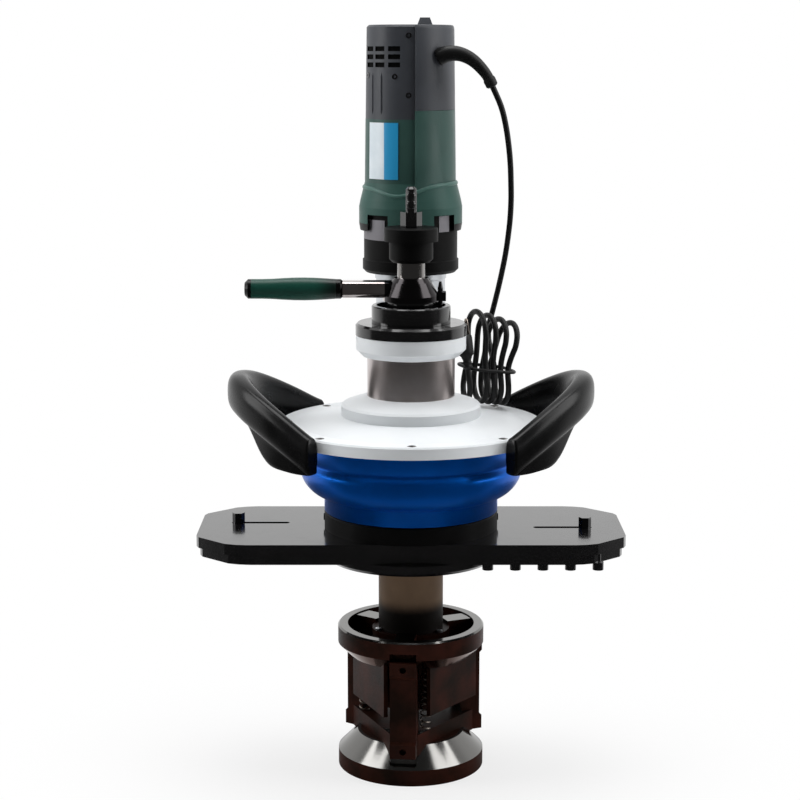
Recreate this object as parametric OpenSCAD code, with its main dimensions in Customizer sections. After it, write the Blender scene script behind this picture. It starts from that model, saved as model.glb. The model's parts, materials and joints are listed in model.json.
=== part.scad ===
// Pipe beveling machine with an expanding mandrel, a turning cutter bar and an upright motor.
// All sizes are in millimetres. The mandrel axis is Z, the cutter bar lies along X and the
// motor stands behind the column, towards +Y. The origin is the centre of the mandrel's base.

/* [Expanding mandrel] */
// Outer radius of the two mandrel rims
rim_r = 68; // [64:0.5:76]
// Height of the lower rim
lower_rim_h = 15; // [10:0.5:20]
// Height of the lower cone above its rim
lower_cone_h = 18; // [12:0.5:22]
// Thickness of the three-sided guide plate on the lower cone
guide_plate_h = 20; // [16:0.5:26]
// How far the guide plate is sunk into the lower cone
guide_plate_sink = 7; // [3:0.5:10]
// Free height between the guide plate and the walls above it
jaw_gap = 16; // [12:0.5:24]
// Height of the walls under the upper cone
wall_h = 46; // [36:1:60]
// Height of the upper cone's sloping underside
upper_cone_h = 11; // [8:0.5:14]
// Height of the upper rim
upper_rim_h = 17; // [12:0.5:24]
// Thickness of the upper rim at its open top
bowl_wall = 9; // [6:0.5:12]
// Distance from the axis to the flat sides of the guide plate
guide_flat_r = 40; // [36:0.5:44]
// Width of each jaw
jaw_w = 24; // [18:0.5:28]
// Radius of the jaws' outer faces at rest
jaw_r = 68.5; // [66:0.5:74]
// Slope of the ramps that the jaws ride on, in degrees from the axis
ramp_angle = 20; // [15:0.5:24]
// Radius of the ramps at the jaws' ends
ramp_r = 58; // [54:0.5:61]
// Rise of the lower cone when the jaws are fully spread
spread_lift = 14; // [8:0.5:15]
// Bearing of the front jaw, in degrees
jaw_bearing = 263.5; // [250:0.5:290]
// Radius of the mandrel shaft
shaft_r = 30; // [26:0.5:34]
// Clear length of shaft between the mandrel and the cutter head
shaft_gap = 64.5; // [55:0.5:90]
// Radius of the feed screw and neck at the shaft's top
screw_r = 12.7; // [10:0.1:15]
// Radius of the draw rod
rod_r = 8; // [6:0.1:9]

/* [Top of the mandrel] */
// Radius of the thrust collar
collar_r = 24.4; // [21:0.1:30]
// Height of the thrust collar
collar_h = 12.5; // [8:0.5:18]
// Radius of the step under the thrust collar
step_r = 20; // [17:0.1:22]
// Height of the step under the thrust collar
step_h = 19; // [14:0.5:26]
// Free length of neck above the lever
neck_gap = 14; // [8:0.5:24]
// Width of the draw rod's hexagon across its flats
hex_af = 17; // [17:0.5:24]
// Height of the hexagon
hex_h = 14; // [10:0.5:20]
// Radius of the draw rod's tip
tip_r = 5; // [4:0.1:7]
// Length of the draw rod's tip
tip_h = 22.5; // [12:0.5:30]

/* [Cutter head] */
// Length of the cutter bar
bar_len = 390; // [370:1:440]
// Width of the cutter bar
bar_w = 150; // [140:1:180]
// Thickness of the cutter bar
bar_h = 10; // [8:0.5:14]
// Thickness of the slide plate under the bar
plate_h = 9; // [8:0.5:12]
// How far the bar overhangs the slide plate
bar_overhang = 3; // [1:0.5:5]
// Length of each corner cut, along the bar
corner_x = 36; // [24:1:38]
// Depth of each corner cut, across the bar
corner_y = 33; // [20:1:34]
// Radius of the hub and of the disc under the bar
head_r = 80; // [76:0.5:84]
// Height of the hub above the bar
hub_h = 16.3; // [12:0.1:22]
// Thickness of the disc under the bar
disc_h = 9.7; // [8:0.1:14]
// Distance of each slot's middle from the bar's end
slot_inset = 55; // [51:0.5:61]
// Sideways offset of the slots
slot_y = 9; // [6:0.5:14]
// Length of each slot
slot_len = 54; // [44:1:60]
// Width of each slot
slot_w = 6.5; // [6.2:0.1:9]
// Inward travel of the tool slides
tool_travel = 42; // [20:1:42]
// Length of each tool slide
slide_len = 50; // [44:1:56]
// Width of each tool slide
slide_w = 30; // [26:1:36]
// Width of the square tool socket
socket_w = 10; // [8:0.5:12]
// Number of plate screws along each wing
plate_screw_count = 5; // [3:1:6]

/* [Gear housing] */
// Outer radius of the housing
housing_r = 102; // [100:0.5:108]
// Height of the housing
housing_h = 70; // [66:1:90]
// Outer radius of the cover
cover_r = 122; // [120:0.5:130]
// Thickness of the cover's rim
cover_h = 11; // [8:0.5:14]
// Radius of the cover's hub
hub_r = 64; // [60:0.5:68]
// Distance of the cover's screws from its edge
cover_screw_inset = 8; // [6:0.5:11]
// Outer radius of the column
column_r = 40; // [38.5:0.5:42]
// Free height of the column
column_h = 37; // [30:1:60]
// Outer radius of the collar ring
ring_r = 50.2; // [48:0.1:52]
// Height of the collar ring
ring_h = 19; // [14:0.5:26]
// Height of the feed flange
flange_h = 11; // [8:0.5:14]
// Outer radius of the feed cup
cup_r = 36; // [34:0.5:40]
// Height of the feed cup
cup_h = 16; // [12:0.5:22]
// Travel of the feed
feed_travel = 45; // [20:1:45]

/* [Gears] */
// Teeth on the ring gear
ring_teeth = 48; // [48]
// Teeth on the pinion
pinion_teeth = 16; // [16]
// Gear module
gear_module = 2.75; // [2.7:0.01:2.78]
// Width of the gear teeth
gear_h = 19; // [14:0.5:19]

/* [Motor] */
// Height of the adapter tube
adapter_h = 110; // [100:1:130]
// Radius of the adapter tube
adapter_r = 33.9; // [31:0.1:34]
// Radius of the gear case
case_r = 44.3; // [43:0.1:45.5]
// Height of the gear case
case_h = 56; // [52:1:70]
// Radius of the bell at its wide end
bell_r = 48.8; // [48:0.1:51]
// Height of the bell above the gear case windows
bell_h = 45; // [40:1:56]
// Radius of the barrel where it meets the bell
barrel_r = 43.3; // [43:0.1:44.5]
// Height of the barrel
barrel_h = 59; // [55:1:75]
// Radius of the cap at its top
cap_r = 41.2; // [40.5:0.1:42.5]
// Height of the cap
cap_h = 86; // [80:1:100]

/* [Feed lever] */
// Distance from the axis to the outer end of the steel arm
arm_reach = 62; // [52:1:80]
// Length of the grip
grip_len = 89; // [70:1:110]
// Radius of the grip
grip_r = 10.4; // [9:0.1:13]
// Height of the steel arm
arm_h = 15; // [13:0.5:16]

/* [Handles] */
// Reach of each handle from the axis
handle_reach = 168; // [160:1:180]
// Thickness of the handle band
handle_t = 16; // [12:0.5:18]
// Height of the handle's grip at its middle
handle_grip_h = 35; // [26:1:40]
// Rise of the handle's grip above the cover
handle_rise = 46; // [40:1:60]

/* [Mains cord] */
// Diameter of the cord
cord_d = 5.5; // [5:0.1:5.5]
// Number of loops in the hank
hank_loops = 5; // [4:1:5]
// Spacing of the hank's loops
hank_pitch = 7.4; // [7.2:0.1:9]
// Radius of the hank's folds
fold_r = 20; // [19.5:0.5:20.5]

/* [Hidden] */
$fn = 64;
run_fit = 0.05;
seat_fit = 0.02;
cover_fit = 0.12;
clear = 0.3;
eps = 0.01;
slot_mid = bar_len / 2 - slot_inset;
cover_screw_r = cover_r - cover_screw_inset;
jaw_angles = [for (i = [0:2]) jaw_bearing + 120 * i];

// Heights from the base upwards
z_plate = lower_rim_h + lower_cone_h - guide_plate_sink;
z_plate_top = z_plate + guide_plate_h;
z_wall = z_plate_top + jaw_gap;
z_cone = z_wall + wall_h;
z_rim = z_cone + upper_cone_h;
z_rim_top = z_rim + upper_rim_h;
z_disc = z_rim_top + shaft_gap;
z_slide = z_disc + disc_h;
z_bar = z_slide + plate_h;
z_hub = z_bar + bar_h;
head_gap = 0.5;
z_housing = z_hub + hub_h + head_gap;
z_cover = z_housing + housing_h;
z_cover_top = z_cover + cover_h;
dome_rise = 7;
hub_step = 11;
cone_rise = 7;
z_dome = z_cover_top + dome_rise;
z_hub_top = z_dome + hub_step;
z_column = z_hub_top + cone_rise;
z_ring = z_column + column_h;
z_flange = z_ring + ring_h;
z_cup = z_flange + flange_h;
z_cup_top = z_cup + cup_h;
lever_gap = 4;
lever_hub_h = 21;
z_lever = z_cup_top + lever_gap;
z_lever_top = z_lever + lever_hub_h;
z_step = z_lever_top + neck_gap;
z_collar = z_step + step_h;
z_hex = z_collar + collar_h;
z_tip = z_hex + hex_h;
neck_sink = 10;

// Ramps of the jaws
ramp_low_z = lower_rim_h + 3;
ramp_high_z = z_rim - 1;
ramp_slope = tan(ramp_angle);
function ramp_low(z) = ramp_r - ramp_slope * (z - ramp_low_z);
function ramp_high(z) = ramp_r - ramp_slope * (ramp_high_z - z);
jaw_rise = spread_lift / 2;
jaw_end_gap = 1.2;
jaw_slack = 0.1;
jaw_side = 0.3;
jaw_hole_r = 3;
jaw_lug_h = 13;
jaw_recess = 2.5;
plate_stand = 1.5;
plate_t = 4;
plate_low = 0.8 * guide_flat_r;
plate_high = 1.05 * guide_flat_r;
plate_sink = 5;
spring_r = 4.2;
spring_wire = 1.5;
spring_curls = 9;
spring_orbit = guide_flat_r + 5;
spring_turn = 23.5;

// Feed screw and nut
nut_flange_h = 12;
nut_flange_r = column_r - 4;
nut_barrel_r = nut_flange_r - 6;
column_bore_r = shaft_r + 3;
z_nut = z_flange - nut_flange_h;
z_screw = z_nut - feed_travel - 1;
column_sink = 12;
z_column_seat = z_column - column_sink;

// Head bearings and gears
journal_r = shaft_r + 10;
sleeve_r = shaft_r + 14;
sleeve_bore_r = shaft_r + 2;
bearing_h = 14;
lower_race_r = sleeve_r + 16;
race_wall_r = lower_race_r + 6;
upper_race_r = journal_r + 16;
upper_bearing_h = 12;
floor_h = 18;
z_gear = z_cover - upper_bearing_h - gear_h - 1;
gear_centre = gear_module * (ring_teeth + pinion_teeth) / 2;
motor_y = gear_centre;
pinion_shaft_r = 9;
pocket_r = gear_module * (pinion_teeth / 2 + 1) + 1.6;
boss_r = pocket_r + 5;
cavity_r = housing_r - 12;
bush_r = shaft_r + 6;
key_w = 8;
key_depth = 4;

// Motor heights
z_pad = z_hub_top + 1;
z_case = z_pad + adapter_h;
case_flange_h = 13;
case_floor = 6;
z_case_top = z_case + case_h;
window_h = 16;
z_bell = z_case_top - window_h;
z_barrel = z_bell + bell_h;
z_cap = z_barrel + barrel_h;
cap_step = 8;
cap_flare = 1.2;
case_lip = 1.2;
z_top = z_cap + cap_h;
seam_x = 3.6;
wall = 3.6;
armature_shaft_r = 5;
pad_inset = 1.9;
pad_r = adapter_r - pad_inset;
adapter_clear = 0.22;

// Shared shapes

// A round tube of points, swept along a path with a radius at each point
function unit(v) = v / norm(v);
function tangents(p) = [for (i = [0:len(p) - 1]) unit(p[min(i + 1, len(p) - 1)] - p[max(i - 1, 0)])];
function side_of(t) = unit(cross(abs(t[2]) < 0.9 ? [0, 0, 1] : [1, 0, 0], t));
function carry(t, n) = unit(n - t * (n * t));
function frames(t, i, n, found) =
  i >= len(t) ? found : frames(t, i + 1, carry(t[i], n), concat(found, [carry(t[i], n)]));

module sweep(path, radii, sides) {
  t = tangents(path);
  n = frames(t, 0, side_of(t[0]), []);
  count = len(path);
  points = [
    for (i = [0:count - 1])
      for (k = [0:sides - 1])
        path[i] + radii[i] * (cos(360 * k / sides) * n[i] + sin(360 * k / sides) * cross(t[i], n[i]))
  ];
  ring_faces = [
    for (i = [0:count - 2])
      for (k = [0:sides - 1])
        let (a = i * sides + k, b = i * sides + (k + 1) % sides)
          each [[a, a + sides, b], [b, a + sides, b + sides]]
  ];
  first_cap = [for (k = [1:sides - 2]) [0, k, k + 1]];
  last = (count - 1) * sides;
  last_cap = [for (k = [1:sides - 2]) [last, last + k + 1, last + k]];
  polyhedron(concat(points, [[0, 0, 0]]), concat(ring_faces, first_cap, last_cap), convexity = 10);
}

module turned(points) {
  rotate_extrude()
    polygon(points);
}

// Cuts a profile, drawn as radius and height, across a width at a bearing
module radial_slab(bearing, width, points) {
  rotate([0, 0, bearing])
    rotate([90, 0, 0])
      linear_extrude(width, center = true)
        polygon(points);
}

module rounded_outline(width, depth, r) {
  square([width - 2 * r, depth], center = true);
  square([width, depth - 2 * r], center = true);
  for (x = [-1, 1])
    for (y = [-1, 1])
      translate([x * (width / 2 - r), y * (depth / 2 - r)])
        circle(r = r, $fn = 32);
}

module ring(r_out, r_in, z, h) {
  translate([0, 0, z])
    difference() {
      cylinder(r = r_out, h = h);
      translate([0, 0, -1])
        cylinder(r = r_in, h = h + 2);
    }
}

module at_motor() {
  translate([0, motor_y, 0])
    children();
}

// A toothed outline with straight flanks and some backlash
module gear_outline(teeth) {
  pitch_r = gear_module * teeth / 2;
  half = gear_module * PI / 4 - 0.32;
  tip = 0.82 * gear_module;
  root = 1.15 * gear_module;
  slope = tan(20);
  polygon([
    for (i = [0:teeth - 1])
      for (q = [[-root, -1], [tip, -1], [tip, 1], [-root, 1]])
        let (r = pitch_r + q[0], w = half - slope * q[0], a = 360 * i / teeth + q[1] * w / r * 180 / PI)
          r * [cos(a), sin(a)]
  ]);
}

// Expanding mandrel

module mandrel_shaft() {
  keyway_z = z_cover - feed_travel - 3;
  color("silver")
    difference() {
      union() {
        translate([0, 0, z_wall])
          cylinder(r = shaft_r, h = z_screw - z_wall);
        translate([0, 0, z_screw - eps])
          cylinder(r = screw_r, h = z_step + neck_sink - z_screw + eps);
      }
      translate([0, 0, z_wall - 1])
        cylinder(r = rod_r + clear, h = z_step + neck_sink - z_wall + 2);
      translate([shaft_r - key_depth - clear, -key_w / 2 - clear, keyway_z])
        cube([key_depth + 2, key_w + 2 * clear, z_screw - keyway_z + 1]);
    }
}

// The three-sided plate outline, with its corners rounded off at the rim
module guide_outline() {
  intersection() {
    circle(r = rim_r + 1.5);
    rotate(jaw_bearing)
      circle(r = 2 * guide_flat_r, $fn = 3);
  }
}

module jaw_slots_low() {
  slot_floor = ramp_low_z;
  slot_top = z_plate_top + 1;
  for (a = jaw_angles)
    radial_slab(a, jaw_w + 2 * jaw_side, [
      [ramp_low(slot_floor), slot_floor],
      [rim_r + 20, slot_floor],
      [rim_r + 20, slot_top],
      [ramp_low(slot_top), slot_top]
    ]);
}

module lower_cone() {
  color("#3a1f1a")
    difference() {
      union() {
        turned([
          [0, 0],
          [rim_r, 0],
          [rim_r, lower_rim_h],
          [rim_r - lower_cone_h, lower_rim_h + lower_cone_h],
          [0, lower_rim_h + lower_cone_h]
        ]);
        translate([0, 0, z_plate])
          linear_extrude(guide_plate_h)
            guide_outline();
      }
      jaw_slots_low();
      translate([0, 0, -1])
        cylinder(r = rod_r + run_fit, h = z_plate_top + 2);
    }
}

module upper_bowl() {
  hub = shaft_r + 6;
  turned([
    [shaft_r + seat_fit, z_wall],
    [hub, z_wall],
    [hub, z_cone - 7],
    [rim_r - upper_cone_h, z_cone],
    [rim_r, z_rim],
    [rim_r, z_rim_top - 1.5],
    [rim_r - 1.5, z_rim_top],
    [rim_r - bowl_wall, z_rim_top],
    [rim_r - bowl_wall, z_rim + 5],
    [hub + 4, z_cone + 5],
    [hub, z_cone + 5],
    [hub, z_rim_top - 4],
    [shaft_r + seat_fit, z_rim_top - 4]
  ]);
}

module upper_cone() {
  spoke_w = 18;
  ramp_start = z_wall + 12;
  notch_top = ramp_high_z + jaw_rise + jaw_end_gap - 1;
  color("#3a1f1a")
    difference() {
      union() {
        upper_bowl();
        for (a = jaw_angles) {
          rotate([0, 0, a + 60])
            translate([guide_flat_r + plate_stand, -plate_low, z_wall])
              cube([plate_t, plate_low + plate_high, wall_h + plate_sink]);
          radial_slab(a, jaw_w - 2, [
            [shaft_r + 3, ramp_start],
            [rim_r - bowl_wall + 2, ramp_start],
            [rim_r - bowl_wall + 2, notch_top + 2],
            [shaft_r + 3, notch_top + 2]
          ]);
          radial_slab(a, spoke_w, [
            [shaft_r + 4, notch_top + 1],
            [rim_r - bowl_wall + 3, notch_top + 1],
            [rim_r - bowl_wall + 3, z_rim_top - 1],
            [shaft_r + 4, z_rim_top - 1]
          ]);
        }
      }
      for (a = jaw_angles)
        radial_slab(a, jaw_w + 2 * jaw_side, [
          [ramp_high(z_wall - 1), z_wall - 1],
          [rim_r + 20, z_wall - 1],
          [rim_r + 20, notch_top],
          [ramp_high(notch_top), notch_top]
        ]);
    }
}

module jaw(bearing) {
  low = ramp_low_z + jaw_rise + jaw_end_gap;
  high = ramp_high_z - jaw_end_gap;
  mid = (ramp_low_z + ramp_high_z) / 2;
  color("#2a1512")
    difference() {
      radial_slab(bearing, jaw_w, [
        [ramp_low(low) + jaw_slack, low],
        [jaw_r, low],
        [jaw_r, low + jaw_lug_h],
        [jaw_r - jaw_recess, low + jaw_lug_h + jaw_recess],
        [jaw_r - jaw_recess, high - jaw_lug_h - jaw_recess],
        [jaw_r, high - jaw_lug_h],
        [jaw_r, high],
        [ramp_high(high) + jaw_slack, high],
        [ramp_high(mid) + jaw_slack, mid]
      ]);
      for (z = [low + jaw_lug_h / 2, high - jaw_lug_h / 2])
        rotate([0, 0, bearing])
          translate([jaw_r - 7, 0, z])
            rotate([0, 90, 0])
              cylinder(r = jaw_hole_r, h = 10, $fn = 32);
    }
}

module jaw_front() jaw(jaw_angles[0]);
module jaw_right() jaw(jaw_angles[1]);
module jaw_left() jaw(jaw_angles[2]);

// Coil springs that push the lower cone down again, each one unbroken wire
function spring_path(z0, z1) = [
  for (i = [0:8 * spring_curls])
    let (f = i / (8 * spring_curls))
      [spring_r * cos(360 * f * spring_curls), spring_r * sin(360 * f * spring_curls), z0 + f * (z1 - z0)]
];

module return_springs() {
  z0 = z_plate_top + spring_wire / 2 + 0.2;
  z1 = z_cone - 7 - spring_wire / 2 - 0.5;
  path = spring_path(z0, z1);
  echo(spring_least_gap = (z1 - z0) / spring_curls - spring_wire);
  color("#8a8580")
    for (a = jaw_angles)
      rotate([0, 0, a + spring_turn])
        translate([spring_orbit, 0, 0])
          sweep(path, [for (p = path) spring_wire / 2], 6);
}

module thrust_collar() {
  chamfer = 3;
  color("#151515")
    turned([
      [screw_r + seat_fit, z_step],
      [step_r - chamfer, z_step],
      [step_r, z_step + chamfer],
      [step_r, z_collar],
      [collar_r, z_collar],
      [collar_r, z_hex - 1],
      [collar_r - 1, z_hex],
      [rod_r + run_fit, z_hex],
      [rod_r + run_fit, z_step + neck_sink],
      [screw_r + seat_fit, z_step + neck_sink]
    ]);
}

module draw_rod() {
  z_end = spread_lift + 2;
  color("#101010") {
    translate([0, 0, z_end])
      cylinder(r = rod_r, h = z_hex - z_end + eps);
    translate([0, 0, z_hex])
      cylinder(r = hex_af / sqrt(3), h = hex_h, $fn = 6);
    translate([0, 0, z_tip - eps])
      cylinder(r = tip_r, h = tip_h - 2 + eps);
    translate([0, 0, z_tip + tip_h - 2])
      cylinder(r1 = tip_r, r2 = tip_r - 2, h = 2);
  }
}

// Cutter head

bolt_circle = head_r - 18;
bolt_r = 4;
bolt_head_r = 6.5;
bolt_head_h = 6.5;
module at_head_bolts() {
  for (i = [0:5])
    rotate([0, 0, 60 * i + 30])
      translate([bolt_circle, 0, 0])
        children();
}

module head_bolt_holes() {
  at_head_bolts()
    translate([0, 0, z_disc - 1])
      cylinder(r = bolt_r + seat_fit, h = z_hub + hub_h - 4 - z_disc + 1, $fn = 32);
}

module spindle_sleeve() {
  color("#2b2b2d")
    turned([
      [sleeve_bore_r, z_hub],
      [sleeve_r, z_hub],
      [sleeve_r, z_gear + gear_h],
      [journal_r, z_gear + gear_h],
      [journal_r, z_cover],
      [sleeve_bore_r, z_cover]
    ]);
}

side_screw_r = 3.2;
side_screw_z = z_hub + hub_h / 2;
module head_hub() {
  color("#0c0c0c")
    difference() {
      turned([
        [sleeve_r + seat_fit, z_hub],
        [head_r, z_hub],
        [head_r, z_hub + hub_h - 1.5],
        [head_r - 1.5, z_hub + hub_h],
        [sleeve_r + seat_fit, z_hub + hub_h]
      ]);
      head_bolt_holes();
      for (s = [-1, 1])
        translate([s * (head_r - 6), 0, side_screw_z])
          rotate([0, s * 90, 0])
            cylinder(r = side_screw_r + seat_fit, h = 8, $fn = 32);
    }
}

module hub_screws() {
  color("#1c1c1c")
    for (s = [-1, 1])
      translate([s * (head_r - 6), 0, side_screw_z])
        rotate([0, s * 90, 0])
          difference() {
            cylinder(r = side_screw_r, h = 6.8, $fn = 32);
            translate([0, 0, 4.5])
              cylinder(r = 1.8, h = 3, $fn = 6);
          }
}

// One corner of the bar, eased where the cut meets the long edge
function corner(x, y) = [
  [x, y - corner_y - 3],
  [x - 2.5, y - corner_y + 4],
  [x - corner_x + 8, y - 5],
  [x - corner_x - 2, y - 1.4],
  [x - corner_x - 12, y]
];
function backwards(p) = [for (i = [len(p) - 1:-1:0]) p[i]];
function flipped(p, sx, sy) = [for (q = p) [sx * q[0], sy * q[1]]];

module bar_outline(inset) {
  c = corner(bar_len / 2 - inset, bar_w / 2 - inset);
  polygon(concat(c, flipped(backwards(c), -1, 1), flipped(c, -1, -1), flipped(backwards(c), 1, -1)));
}

plate_screw_r = 2.5;
plate_screw_head_r = 5;
plate_screw_head_h = 7;
plate_screw_y = bar_w / 2 - bar_overhang - 11;
plate_screw_x = bar_len / 2 - 27;
plate_screw_gap = 7;
plate_screw_in = sqrt(pow(head_r + plate_screw_head_r + plate_screw_gap, 2) - pow(plate_screw_y, 2));
plate_screw_pitch = (plate_screw_x - plate_screw_in) / (plate_screw_count - 1);
module at_plate_screws() {
  for (turn = [0, 180])
    rotate([0, 0, turn])
      for (i = [0:plate_screw_count - 1])
        translate([plate_screw_x - plate_screw_pitch * i, -plate_screw_y, 0])
          children();
}

// One slot or channel on each wing, half a turn apart
module both_wings() {
  for (turn = [0, 180])
    rotate([0, 0, turn])
      children();
}

module cutter_bar() {
  color("#0d0d0d")
    difference() {
      translate([0, 0, z_bar])
        linear_extrude(bar_h)
          bar_outline(0);
      translate([0, 0, z_bar - 1])
        cylinder(r = sleeve_bore_r, h = bar_h + 2);
      head_bolt_holes();
      both_wings()
        translate([slot_mid, -slot_y, z_bar - 1])
          linear_extrude(bar_h + 2)
            union() {
              square([slot_len - slot_w, slot_w], center = true);
              for (s = [-1, 1])
                translate([s * (slot_len - slot_w) / 2, 0])
                  circle(d = slot_w, $fn = 32);
            }
      at_plate_screws()
        translate([0, 0, z_bar - 1])
          cylinder(r = plate_screw_r + seat_fit, h = 1 + bar_h - 3, $fn = 32);
    }
}

bolt_rest = slot_mid + slot_len / 2 - slot_w;
slide_low = bolt_rest - slide_len / 2;
channel_low = slide_low - tool_travel - 1.5;
module slide_plate() {
  color("#090909")
    difference() {
      translate([0, 0, z_slide])
        linear_extrude(plate_h)
          bar_outline(bar_overhang);
      translate([0, 0, z_slide - 1])
        cylinder(r = sleeve_bore_r, h = plate_h + 2);
      head_bolt_holes();
      both_wings()
        translate([channel_low, -slot_y - slide_w / 2 - clear, z_slide - 1])
          cube([bar_len, slide_w + 2 * clear, plate_h + 2]);
      at_plate_screws()
        translate([0, 0, z_slide - 1])
          cylinder(r = plate_screw_r + seat_fit, h = plate_h + 2, $fn = 32);
    }
}

module plate_screws() {
  color("#151515")
    at_plate_screws() {
      translate([0, 0, z_slide - plate_screw_head_h])
        difference() {
          cylinder(r = plate_screw_head_r, h = plate_screw_head_h, $fn = 32);
          translate([0, 0, -1])
            cylinder(r = 2.2, h = 3.5, $fn = 6);
        }
      translate([0, 0, z_slide - eps])
        cylinder(r = plate_screw_r, h = plate_h + bar_h - 4, $fn = 32);
    }
}

seal_r = shaft_r + 6;
seal_h = 4;
module lower_disc() {
  chamfer = 3;
  color("#0c0c0c")
    difference() {
      turned([
        [seal_r + seat_fit, z_disc],
        [head_r - chamfer, z_disc],
        [head_r, z_disc + chamfer],
        [head_r, z_slide],
        [sleeve_bore_r, z_slide],
        [sleeve_bore_r, z_disc + seal_h],
        [seal_r + seat_fit, z_disc + seal_h]
      ]);
      head_bolt_holes();
      at_head_bolts()
        translate([0, 0, z_disc - 1])
          cylinder(r = bolt_head_r + seat_fit, h = bolt_head_h + 1, $fn = 32);
    }
}

module dust_seal() {
  color("#202020")
    ring(seal_r, shaft_r + clear, z_disc, seal_h);
}

module head_bolts() {
  color("#1a1a1a")
    at_head_bolts() {
      translate([0, 0, z_disc + 0.5])
        difference() {
          cylinder(r = bolt_head_r, h = bolt_head_h - 0.5, $fn = 32);
          translate([0, 0, -1])
            cylinder(r = 3, h = 4, $fn = 6);
        }
      translate([0, 0, z_disc + bolt_head_h - eps])
        cylinder(r = bolt_r, h = z_hub + hub_h - 6 - z_disc - bolt_head_h, $fn = 32);
    }
}

module ring_gear() {
  color("#77736c")
    translate([0, 0, z_gear])
      linear_extrude(gear_h)
        difference() {
          rotate(90)
            gear_outline(ring_teeth);
          circle(r = sleeve_r + seat_fit);
        }
}

module tool_slide_right() {
  color("#1b1b1b")
    difference() {
      translate([slide_low, -slot_y - slide_w / 2, z_slide + 0.2])
        cube([slide_len, slide_w, plate_h - 0.3]);
      translate([bolt_rest, -slot_y, z_slide - 1])
        cylinder(r = 3 + seat_fit, h = plate_h + 2, $fn = 32);
      translate([bolt_rest + 7, -slot_y - socket_w / 2, z_slide - 1])
        cube([socket_w, socket_w, plate_h + 2]);
    }
}

module clamp_bolt_right() {
  head_w = 10;
  head_h = 8.5;
  color("#101010")
    translate([bolt_rest, -slot_y, 0]) {
      translate([0, 0, z_slide + 1])
        cylinder(r = 3, h = z_hub + 0.1 - z_slide - 1 + eps, $fn = 32);
      translate([0, 0, z_hub + 0.1])
        cylinder(r = 5.8, h = 1.2, $fn = 32);
      translate([0, 0, z_hub + 1.3 - eps])
        cylinder(r = head_w / sqrt(3), h = head_h, $fn = 6);
    }
}

module tool_slide_left() {
  rotate([0, 0, 180])
    tool_slide_right();
}

module clamp_bolt_left() {
  rotate([0, 0, 180])
    clamp_bolt_right();
}

// Gear housing

neck_h = 5;
bulge_h = 25;
function bulge(a) = [
  head_r + (housing_r - head_r) * pow(sin(a), 1.25),
  z_housing + neck_h + bulge_h * (1 - cos(a))
];

module gear_housing() {
  groove = 2.5;
  z_groove = z_housing + neck_h + bulge_h + 1;
  color("#0a4fae")
    difference() {
      union() {
        turned(concat(
          [[race_wall_r, z_housing], [head_r, z_housing]],
          [for (a = [0:5:90]) bulge(a)],
          [
            [housing_r, z_groove],
            [housing_r - groove, z_groove + 1.5],
            [housing_r - groove, z_groove + 4.5],
            [housing_r, z_groove + 6],
            [housing_r, z_cover],
            [cavity_r, z_cover],
            [cavity_r, z_housing + floor_h],
            [race_wall_r, z_housing + floor_h]
          ]
        ));
        ring(race_wall_r + 1, lower_race_r + seat_fit, z_housing, floor_h);
        ring(race_wall_r + 1, sleeve_r + 6, z_housing, 2);
        at_motor()
          translate([0, 0, z_gear - 14])
            cylinder(r = boss_r, h = z_cover - z_gear + 14);
      }
      translate([0, 0, z_gear - 6])
        intersection() {
          at_motor()
            cylinder(r = pocket_r, h = z_cover);
          translate([0, 0, 0])
            cylinder(r = cover_r, h = z_cover);
        }
      translate([0, 0, z_housing + floor_h])
        cylinder(r = cavity_r, h = z_gear - 6 - z_housing - floor_h + eps);
      translate([0, 0, z_gear - 6])
        cylinder(r = cavity_r, h = z_cover - z_gear + 7);
      at_motor()
        translate([0, 0, z_gear - 13])
          cylinder(r = pinion_shaft_r + run_fit, h = 10);
    }
}

module lower_bearing() {
  color("#9a9a98")
    ring(lower_race_r, sleeve_r + run_fit, z_housing + 2 + seat_fit, bearing_h);
}

module upper_bearing() {
  color("#9a9a98")
    ring(upper_race_r, journal_r + run_fit, z_cover - upper_bearing_h, upper_bearing_h);
}

cover_bolt_r = 2.5;
cover_head_r = 4.2;
cover_head_h = 4;
module at_cover_screws() {
  for (i = [0:7])
    if (i != 2)
      rotate([0, 0, 45 * i])
        translate([cover_screw_r, 0, 0])
          children();
}

handle_bolt_r = 3;
handle_bolt_bearing = 40;
module at_handle_bolts() {
  for (a = [-handle_bolt_bearing, handle_bolt_bearing])
    for (half = [0, 180])
      rotate([0, 0, a + half])
        translate([cover_r - 14, 0, z_cover + cover_h / 2])
          rotate([0, 90, 0])
            children();
}

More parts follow.
